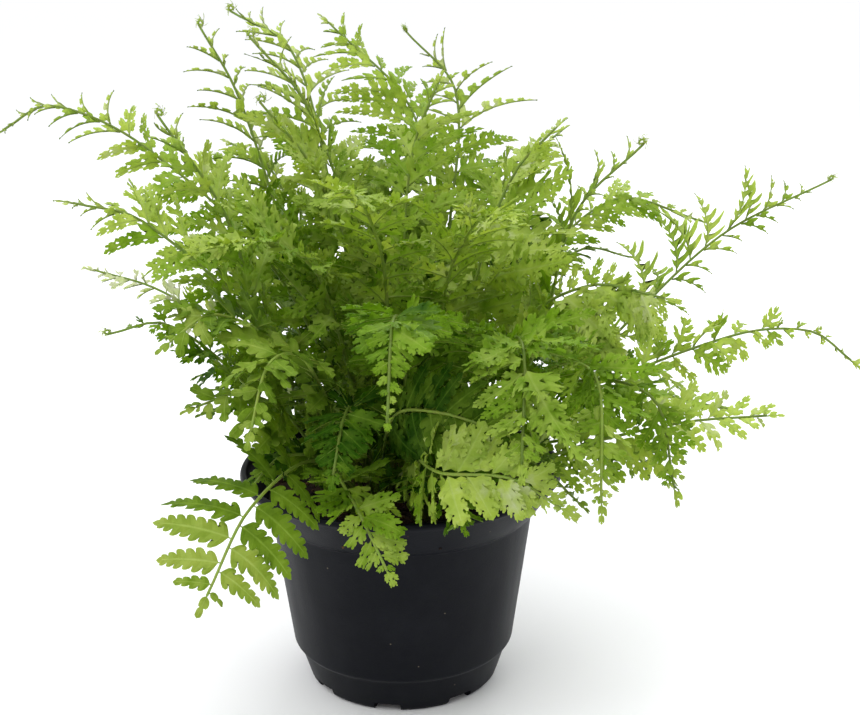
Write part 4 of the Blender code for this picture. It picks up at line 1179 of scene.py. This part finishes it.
# %% [markdown]
# Under each blade runs its own rib, thin as a thread. It is a tube with three sides, drawn
# straight in the same flat space as the blade, so that both are bent alike. On the wiry
# fronds it runs on past the last lobe and ends in a bead, which is a lobe that hasn't opened.

# %% Draw the thread under a pinna
THREAD_FOOT, THREAD_TIP, BEAD_RADIUS = 0.24, 0.09, 0.3
THREAD_RINGS, THREAD_SIDES = 9, 3
BEAD_SPAN, THREAD_PAST, BEAD_PAST, THREAD_END = (0.15, 0.5), 0.1, 0.7, 0.02
BEADED_SUNK, PLAIN_SUNK = 0.5, 0.9


def draw_thread(length, thick, bead):
    """A thin three-sided tube laid flat along a pinna, with or without a bead at its end."""
    rings = []
    for k in range(THREAD_RINGS):
        share = k / (THREAD_RINGS - 1)
        rings.append((length * share, thick * (THREAD_FOOT + (THREAD_TIP - THREAD_FOOT) * share)))
    if bead:
        rings += [(length + past, BEAD_RADIUS) for past in BEAD_SPAN]
    rings.append((length + (BEAD_PAST if bead else THREAD_PAST), THREAD_END))
    points = []
    sunk = THREAD_FOOT * (BEADED_SUNK if bead else PLAIN_SUNK)
    for x, radius in rings:
        for k in range(THREAD_SIDES):
            angle = math.radians(90 + 360 / THREAD_SIDES * k)
            points.append((x, radius * math.cos(angle), radius * math.sin(angle) - sunk))
    return np.array(points), tube_faces(len(rings), THREAD_SIDES)


# %% [markdown]
# A blade of a leaf is thin enough that light comes through it, and that is what makes a fern
# glow. The shader is mostly a Principled surface with a faint waxy shine, as cuticle has, and
# a quarter to a third Translucent, in a yellower green, because the chlorophyll holds back blue
# and red. A ramp picks each colour by the age of the pinna, which is partly painted shade.
# Veins are a little paler than the blade, and the midrib and the thin rim are paler still; the
# rim's paleness is a painted highlight. On old blades the shine is tinted a leafy yellow, as a
# painted reflection.

# %% Leaf blade
TONE_PLACES = (0.0, 0.2, 0.6, 1.0)
LEAF_TONES = ("#c3c9a4", "#a9bf50", "#6c9020", "#234808")
GLOW_TONES = ("#c8cf9a", "#b4ca38", "#7aa410", "#326205")
GROWN_TONES = ("#c3c9a4", "#9cab48", "#668422", "#1c3f06")
GROWN_GLOW = ("#c8cf9a", "#a4b732", "#709212", "#244c04")
# the paler tone of veins and midrib, which also paints a highlight along the thin rim
PALE_AND_HIGHLIGHT_TONES = ("#dfe3c8", "#c3d578", "#97b444", "#557a22")
# old blades stand in the shade of the heart, so their sheen is tinted a leafy yellow and not
# white, as a painted reflection of the green round them
PAINTED_SHEEN_TINTS = ("#ffffff", "#ffffff", "#d8e080", "#c0d050")
LEAF_PATCH_MM, LEAF_GRAIN_MM, PATCH_AGES = 7.0, 0.7, 0.8
# where a vein, the midrib and the painted rim highlight begin and end, and how pale each is
VEIN_FROM, VEIN_PALE = (0.42, 0.50), 0.2
MIDRIB_FROM, MIDRIB_PALE = (0.10, 0.0), 0.75
RIM_HIGHLIGHT_FROM, RIM_HIGHLIGHT_PALE = (0.86, 1.0), 0.75
LEAF_ROUGHNESS, LEAF_BUMP, VEIN_HEIGHT = (0.38, 0.62), (0.55, 0.0003), -0.6
YOUNG_GLOW, OLD_GLOW = 0.34, 0.24


def leaf_material(name, tones, glow_tones, glow_share):
    """Waxy upper skin over a blade that lets light through."""
    material, tree, shader = start_material(name, {"IOR": 1.42, "Specular IOR Level": 0.3})
    look = add_node(tree, "Attribute", attribute_name="look").outputs["Vector"]
    parts = add_node(tree, "SeparateXYZ", {"Vector": look}).outputs
    # the age is partly painted shade: fronds in the heart and at the back are darker for it
    age = add_node(tree, "Attribute", attribute_name="age").outputs["Fac"]
    place = add_node(tree, "TexCoord").outputs["Object"]
    shift = maths(tree, "SUBTRACT", noise_of(tree, place, LEAF_PATCH_MM, detail=3.0)["Fac"], 0.5)
    aged = maths(tree, "MULTIPLY_ADD", shift, PATCH_AGES, age)
    # an age of 0 lies at the second tone, and one of 1 at the last
    spread = remap(tree, aged, target=(TONE_PLACES[1], 1.0), clamp=False)

    def by_age(tones):
        return tone_ramp(tree, spread, list(zip(TONE_PLACES, tones)))

    between = maths(tree, "PINGPONG", parts["Y"], 1.0)
    vein = remap(tree, between, VEIN_FROM, (0.0, VEIN_PALE))
    midrib = remap(tree, parts["X"], MIDRIB_FROM, (0.0, MIDRIB_PALE))
    # a painted highlight along the thin rim of each lobe
    rim = remap(tree, parts["X"], RIM_HIGHLIGHT_FROM, (0.0, RIM_HIGHLIGHT_PALE))
    pale = maths(tree, "MAXIMUM", maths(tree, "MAXIMUM", vein, midrib), rim)
    grain = noise_of(tree, place, LEAF_GRAIN_MM, detail=2.0)["Fac"]
    feed(tree, shader, {
        "Base Color": mix_tones(tree, pale, by_age(tones), by_age(PALE_AND_HIGHLIGHT_TONES)),
        "Specular Tint": by_age(PAINTED_SHEEN_TINTS),
        "Roughness": remap(tree, grain, target=LEAF_ROUGHNESS),
        "Normal": bumps(tree, maths(tree, "MULTIPLY_ADD", pale, VEIN_HEIGHT, grain), *LEAF_BUMP),
    })
    let_light_through(tree, shader, by_age(glow_tones), glow_share)
    return material


young_blade = leaf_material("fresh_fern_blade", LEAF_TONES, GLOW_TONES, YOUNG_GLOW)
old_blade = leaf_material("grown_fern_blade", GROWN_TONES, GROWN_GLOW, OLD_GLOW)
print("blade nodes:", len(young_blade.node_tree.nodes))

# %% [markdown]
# A rib is a wiry stalk: smooth, a little shiny, pale green along the frond and olive where it
# leaves the crown. Its age value is low at the tip and high at the foot, and picks the colour.
# A green rib is juicy, so some light comes through it, and it never looks black from below.
# The chaffy scales at the foot of a stalk are dry and brown.

# %% Rib and scales
RIB_TONES = ((0.0, "#98af4c"), (0.3, "#778d3c"), (0.6, "#586d27"), (1.0, "#45431f"))
SAP_GREEN, SAP_SHARE = "#b9cf55", 0.3
RIB_STREAK_MM, STREAK_SHARE = 2.0, 0.25
SCALE_BROWN, SCALE_TAN, SCALE_GRAINS = "#6b4f30", "#a98a5c", 900.0

rib_skin, tree, shader = start_material("wiry_fern_rib", {
    "IOR": 1.45, "Roughness": 0.45, "Specular IOR Level": 0.3,
})
age = add_node(tree, "Attribute", attribute_name="age").outputs["Fac"]
place = add_node(tree, "TexCoord").outputs["Object"]
streaks = noise_of(tree, place, RIB_STREAK_MM, detail=3.0)["Color"]
toned = tone_ramp(tree, age, RIB_TONES)
feed(tree, shader, {"Base Color": mix_tones(tree, STREAK_SHARE, toned, streaks, "OVERLAY")})
let_light_through(tree, shader, linear(SAP_GREEN), SAP_SHARE)

scale_skin, tree, shader = start_material("chaffy_scale", {"Roughness": 0.8})
place = add_node(tree, "TexCoord").outputs["Object"]
dry = add_node(tree, "TexNoise", {"Scale": SCALE_GRAINS, "Detail": 2.0, "Vector": place})
tan = mix_tones(tree, dry.outputs["Fac"], linear(SCALE_BROWN), linear(SCALE_TAN))
feed(tree, shader, {"Base Color": tan})
print("materials:", len(bpy.data.materials))

# %% [markdown]
# A frond is gathered in one mesh: its rib, as a tube with a tapering round section, its pinnae
# and scales, and the coiled tip, called a crozier, where the frond is still unrolling.

# %% Gather a frond's mesh
BLADE, RIB, SCALE = 0, 1, 2


class Growth:
    """Gathers the points, faces and shader values of one frond."""

    def __init__(self):
        self.points, self.looks, self.ages, self.faces, self.kinds = [], [], [], [], []
        self.count = 0

    def add(self, points, faces, looks, ages, kind):
        """Adds faces of one kind, with a look and an age for each point."""
        self.points.append(np.asarray(points, float))
        self.looks.append(np.asarray(looks, float))
        self.ages.append(np.broadcast_to(ages, len(points)))
        self.faces += [tuple(self.count + i for i in face) for face in faces]
        self.kinds += [kind] * len(faces)
        self.count += len(points)

    def finish(self, name, materials):
        """Makes the mesh, with the values for the shader on its points."""
        thing = make_piece(name, np.concatenate(self.points), self.faces, materials, self.kinds)
        looks = np.zeros((self.count, 3))
        looks[:, :2] = np.concatenate(self.looks)
        look = thing.data.attributes.new("look", "FLOAT_VECTOR", "POINT")
        look.data.foreach_set("vector", looks.ravel())
        age = thing.data.attributes.new("age", "FLOAT", "POINT")
        age.data.foreach_set("value", np.concatenate(self.ages))
        return thing


RIB_SIDES = 6


def add_tube(growth, rings, ages):
    """A tube through rings of (middle, side, face, radius), closed at both ends."""
    points, shades = [], []
    for (middle, side, face, radius), ring_age in zip(rings, ages):
        for k in range(RIB_SIDES):
            angle = 2 * math.pi * k / RIB_SIDES
            points.append(middle + (side * math.cos(angle) + face * math.sin(angle)) * radius)
            shades.append(ring_age)
    faces = tube_faces(len(rings), RIB_SIDES)
    last = (len(rings) - 1) * RIB_SIDES
    faces.append(tuple(range(RIB_SIDES - 1, -1, -1)))
    faces.append(tuple(last + k for k in range(RIB_SIDES)))
    growth.add(points, faces, np.zeros((len(points), 2)), shades, RIB)


# %% [markdown]
# A crozier coils in over the upper face of the frond, ever tighter, as the solid's does. Tiny
# pinnae that haven't opened sit along its outside like beads, and are the freshest green.

# %% Crozier
CROZIER_RADIUS, CROZIER_TURN, CROZIER_RINGS = 2.4, 380.0, 26
CROZIER_CLOSE, CROZIER_SLIM, CROZIER_THIN = 0.62, 0.5, 0.3
BUD_PAIRS, FIRST_BUD, BUDS_SHORT = 5, 2, 6
BUD_LENGTHS, BUD_SHRINK = (0.4, 0.7), 0.5
BUD_SIDEWAYS, BUD_OUTWARD, BUD_SUNK, BUD_BEND, BUD_BOW = 0.75, 0.65, 0.6, 1.3, 0.2


def crozier_rings(path, outward, roll, radius):
    """Rings of the coil, from the end of the rib to its middle."""
    middle, along, side, face = frame_at(path, path.length, outward, roll)
    rings = []
    for k in range(1, CROZIER_RINGS + 1):
        share = k / CROZIER_RINGS
        turn = math.radians(CROZIER_TURN * share)
        spoke = along * math.sin(turn) - face * math.cos(turn)
        reach = CROZIER_RADIUS * CROZIER_SLIM * (1 - CROZIER_CLOSE * share)
        point = middle + face * CROZIER_RADIUS * CROZIER_SLIM + spoke * reach
        rings.append((point, side, spoke, radius * (1 - CROZIER_THIN * share)))
    return rings


def add_buds(growth, rings, habit, draw):
    """Unopened pinnae on both sides of the coil, smaller toward its middle."""
    for k in range(BUD_PAIRS):
        ring = FIRST_BUD + k * (CROZIER_RINGS - BUDS_SHORT) // BUD_PAIRS
        point, side, spoke, radius = rings[ring]
        forward = side.cross(spoke)
        for sign in (1, -1):
            length = draw.uniform(*BUD_LENGTHS) * (1 - BUD_SHRINK * k / BUD_PAIRS)
            out = (side * sign * BUD_SIDEWAYS + spoke * BUD_OUTWARD).normalized()
            ahead = (forward - out * forward.dot(out)).normalized()
            flat, faces, looks = draw_pinna(length, habit, draw)
            stance = Stance(point + out * radius * BUD_SUNK, out, ahead, -ahead.cross(out) * sign,
                            length, BUD_BEND, BUD_BOW, 0.0, 0.0)
            growth.add(bend_pinna(flat, stance), faces, looks, 0.0, BLADE)


# %% [markdown]
# Now each frond is grown. The fine pinnae stand closer than the coarse leaflets, take their
# lift and length from the coarse one that they lie in, and differ a little by seeded draws:
# in angle, droop and twist. Pinnae of a curling tip bend inward like the crozier does.

# %% Grow one frond
GROW_SEED = 31
RING_SPACING = 4.5
RIB_FOOT_RADIUS, RIB_TIP_RADIUS, RIB_TAPER, RIB_FADE = 0.80, 0.42, 0.8, 1.6
FRESH_RIB, WIRY_RIB, GREEN_RIB = 0.05, 0.3, 0.45
# scales crowd toward the foot of a stalk and stand off it a little; lengths are in mm
SCALES_PER_STALK, SCALY_STRETCH, SCALES_CROWD, SCALE_AGE = 26, 26, 1.6, 0.5
SCALES_FROM = CLUMP_DEPTH + 1
SCALE_HALF, SCALE_SUNK, SCALE_UP = 0.16, 0.9, 0.8
SCALE_OUT, SCALE_LENGTHS = (0.3, 0.8), (1.2, 2.4)
LOW_PAIRS, LEAST_PAIRS, LOW_SHRINK = 4, 4, 0.35
JITTER, STAGGER = 0.25, 0.2
LEVEL_RISE, PINNA_SUNK = 0.2, 0.8
END_SHARE, END_BEND, END_FRESHER = 0.93, 0.3, 0.2
USUAL_BEND, CURL_IN, CURL_POWER = 0.32, 1.5, 6
CROZIER_FROM = 0.93
# spreads of the draws about a pinna: the least, and how much more when the habit is wild
SWEEP_SPREAD, LIFT_SPREAD, ROLL_SPREAD = (2, 7), (4, 10), (5, 16)
BEND_SPREAD, TWIST_SPREAD = (0.1, 0.25), (0.1, 0.3)
SHORTER, LONGEST = 0.3, 1.06
OLD_FOOT, GROWN_FROM = 0.3, 0.3
PINNA_TINTS, FRESH_END = (-0.06, 0.34), 0.3


def rib_rings(frond, path, outward, least_age):
    """Rings of the rib from inside the mix to its tip, and the age at each."""
    count = math.ceil(path.length / RING_SPACING)
    rings, ages = [], []
    for k in range(count + 1):
        share = k / count
        middle, _, side, face = frame_at(path, path.length * share, outward, frond.roll)
        radius = RIB_FOOT_RADIUS + (RIB_TIP_RADIUS - RIB_FOOT_RADIUS) * share**RIB_TAPER
        rings.append((middle, side, face, radius))
        ages.append(max(least_age, 1.0 - share * RIB_FADE))
    return rings, ages


def add_scales(growth, frond, path, outward, draw):
    """Chaffy scales on the foot of the stalk: slivers that point up and outward."""
    points, faces = [], []
    for _ in range(SCALES_PER_STALK):
        mark = SCALES_FROM + SCALY_STRETCH * draw.random() ** SCALES_CROWD
        middle, along, side, face = frame_at(path, mark, outward, frond.roll)
        angle = draw.uniform(0, 2 * math.pi)
        out = side * math.cos(angle) + face * math.sin(angle)
        across = along.cross(out) * SCALE_HALF
        root = middle + out * RIB_FOOT_RADIUS * SCALE_SUNK
        heading = along * SCALE_UP + out * draw.uniform(*SCALE_OUT)
        first = len(points)
        points += [root - across, root + across, root + heading * draw.uniform(*SCALE_LENGTHS)]
        faces.append((first, first + 1, first + 2))
    growth.add(points, faces, np.zeros((len(points), 2)), SCALE_AGE, SCALE)


def add_pinna(growth, habit, stance, tint, draw):
    """Adds one pinna and its thread."""
    flat, faces, looks = draw_pinna(stance.length, habit, draw)
    thread, thread_faces = draw_thread(stance.length, habit.wire, habit.rim in ("thumb", "blade"))
    if np.dot(np.cross(stance.out, stance.ahead), stance.up) > 0:
        faces = [tuple(reversed(f)) for f in faces]
    growth.add(bend_pinna(flat, stance), faces, looks, tint, BLADE)
    thread_age = WIRY_RIB if habit.wire > 1 else FRESH_RIB
    no_looks = np.zeros((len(thread), 2))
    growth.add(bend_pinna(thread, stance), thread_faces, no_looks, thread_age, RIB)


def luck(draw, wild, least, more):
    """A draw about 0 that spreads wider in a wild habit."""
    return draw.gauss(0, least + more * wild)


def pinna_length(number, sign, share, full, sweep, habit, draw):
    """Length of a pinna: that of the solid leaflet, changed by its habit and its place."""
    length = full * draw.uniform(1 - SHORTER * habit.wild, LONGEST)
    length *= habit.reach / math.cos(sweep - math.radians(habit.arc))
    length *= SIDE_REACH.get((number + 1, sign), 1.0)
    if number + 1 in REACH_ALONG:
        length *= float(np.interp(share, REACH_PLACES, REACH_ALONG[number + 1]))
    if number + 1 in TAILS:
        length *= min(1.0, LEAST_TAIL + (1 - LEAST_TAIL) * (1 - share) / TAILS[number + 1])
    return length


def side_pinna(number, place, sign, habit, draw):
    """How a pinna on one side of the rib stands, at a place counted in coarse leaflets."""
    frond = fronds[number]
    path, outward = ribs[number]
    missing = (0, 1 + LOW_SHRINK * place)
    lift, kept = leaflets[number].get((math.floor(place), sign), missing)
    mark = leafy_mark(frond, path, place)
    share = max(leafy_share(frond, path, mark), 0)
    wild = habit.wild
    sweep = BASE_SWEEP + (TIP_SWEEP - BASE_SWEEP) * share + luck(draw, wild, *SWEEP_SPREAD)
    sweep = math.radians(sweep + habit.arc + SWEPT.get(number + 1, 0))
    middle, along, side, face = frame_at(path, mark, outward, frond.roll)
    tipped = lift + sign * TIPPED.get(number + 1, 0)
    angle = math.radians(tipped + luck(draw, wild, *LIFT_SPREAD))
    level = side * sign * math.cos(angle) + face * math.sin(angle)
    full = leaflet_length(frond.width, share) * kept
    length = pinna_length(number, sign, share, full, sweep, habit, draw)
    out = level * math.cos(sweep) + along * math.sin(sweep)
    ahead = along * math.cos(sweep) - level * math.sin(sweep)
    out.z += (LEVEL_RISE - out.z) * habit.level
    out.normalize()
    ahead = (ahead - out * ahead.dot(out)).normalized()
    bend = USUAL_BEND + luck(draw, wild, *BEND_SPREAD)
    if frond.crozier:
        bend -= CURL_IN * share**CURL_POWER
    bow = -length * math.tan(math.radians(habit.arc))
    twist = luck(draw, wild, *TWIST_SPREAD)
    roll = math.radians(luck(draw, wild, *ROLL_SPREAD))
    root = middle + level * RIB_TIP_RADIUS * PINNA_SUNK
    return share, Stance(root, out, ahead, ahead.cross(out) * sign, length, bend, bow, twist, roll)


def add_tip(growth, number, rings, ages, habit, draw):
    """Ends a frond in a coil with its buds, or in one pinna that carries on its rib."""
    frond = fronds[number]
    path, outward = ribs[number]
    if frond.crozier:
        coil = crozier_rings(path, outward, frond.roll, RIB_TIP_RADIUS)
        rings += coil
        ages += [0.0] * len(coil)
        add_buds(growth, coil, HABITS["oak"], draw)
        return
    middle, along, side, face = frame_at(path, path.length, outward, frond.roll)
    length = leaflet_length(frond.width, END_SHARE) * SIDE_REACH.get((number + 1, 0), 1.0)
    stance = Stance(middle, along, side, face, length, END_BEND, 0.0, 0.0, 0.0)
    tint = max(AGES_AND_SHADE[number] - END_FRESHER, min(AGES_AND_SHADE[number], 0.0))
    add_pinna(growth, habit, stance, tint, draw)


def add_pinnae(growth, number, habit, draw):
    """Adds the pinnae on both sides of a rib, which stagger a little."""
    frond, age = fronds[number], AGES_AND_SHADE[number]
    leafy_to = LEAFY_TO.get(number + 1, USUAL_LEAFY) * frond.pairs
    count = max(LEAST_PAIRS, round(ribs[number][0].length * (1 - frond.bare) / habit.space))
    low = 0 if number + 1 in OPEN_FEET else LOW_PAIRS
    for j, sign in product(range(-low, count), (1, -1)):
        jitter = draw.uniform(-JITTER, JITTER) * habit.wild
        place = (j + 0.5 + STAGGER * sign + jitter) / count * frond.pairs
        if place >= 0 and (int(place), sign) not in leaflets[number]:
            continue
        kind = habit
        if habit.rim == "thumb" and place < leafy_to:
            kind = HABITS[draw.choice(LOW_HABITS)]
        share, stance = side_pinna(number, place, sign, kind, draw)
        if frond.crozier and share > CROZIER_FROM:
            continue
        tint = age + draw.uniform(*PINNA_TINTS) - FRESH_END * share**3
        if habit.rim == "thumb":
            tint += OLD_FOOT * (1 - share) ** 2
        tint = min(max(tint, min(age, 0.0)), 1.0)
        add_pinna(growth, kind, stance, tint, draw)


def grow_frond(number, draw):
    """Grows a frond by its place in the list, which starts at 0."""
    frond, habit = fronds[number], habit_of(number + 1)
    growth = Growth()
    least_age = FRESH_RIB if frond.lobed else WIRY_RIB
    if number + 1 in GREEN_RIBS:
        least_age = GREEN_RIB
    rings, ages = rib_rings(frond, *ribs[number], least_age)
    add_tip(growth, number, rings, ages, habit, draw)
    add_tube(growth, rings, ages)
    add_scales(growth, frond, *ribs[number], draw)
    add_pinnae(growth, number, habit, draw)
    fresh = frond.lobed or frond.crozier or AGES_AND_SHADE[number] < GROWN_FROM
    grown = habit.rim == "round" or not fresh
    blade = old_blade if grown else young_blade
    thing = growth.finish("fern_" + node_names[number], [blade, rib_skin, scale_skin])
    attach(thing, "root")
    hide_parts(node_names[number])
    return thing

# %% [markdown]
# Each frond draws its small differences from a seed of its own, so that a change to one frond
# leaves all the others as they are.

# %% Grow the whole plant
plant = [grow_frond(number, random.Random(GROW_SEED + number)) for number in range(len(fronds))]
print("triangles on the fronds:", sum(len(p.vertices) - 2 for t in plant for p in t.data.polygons))
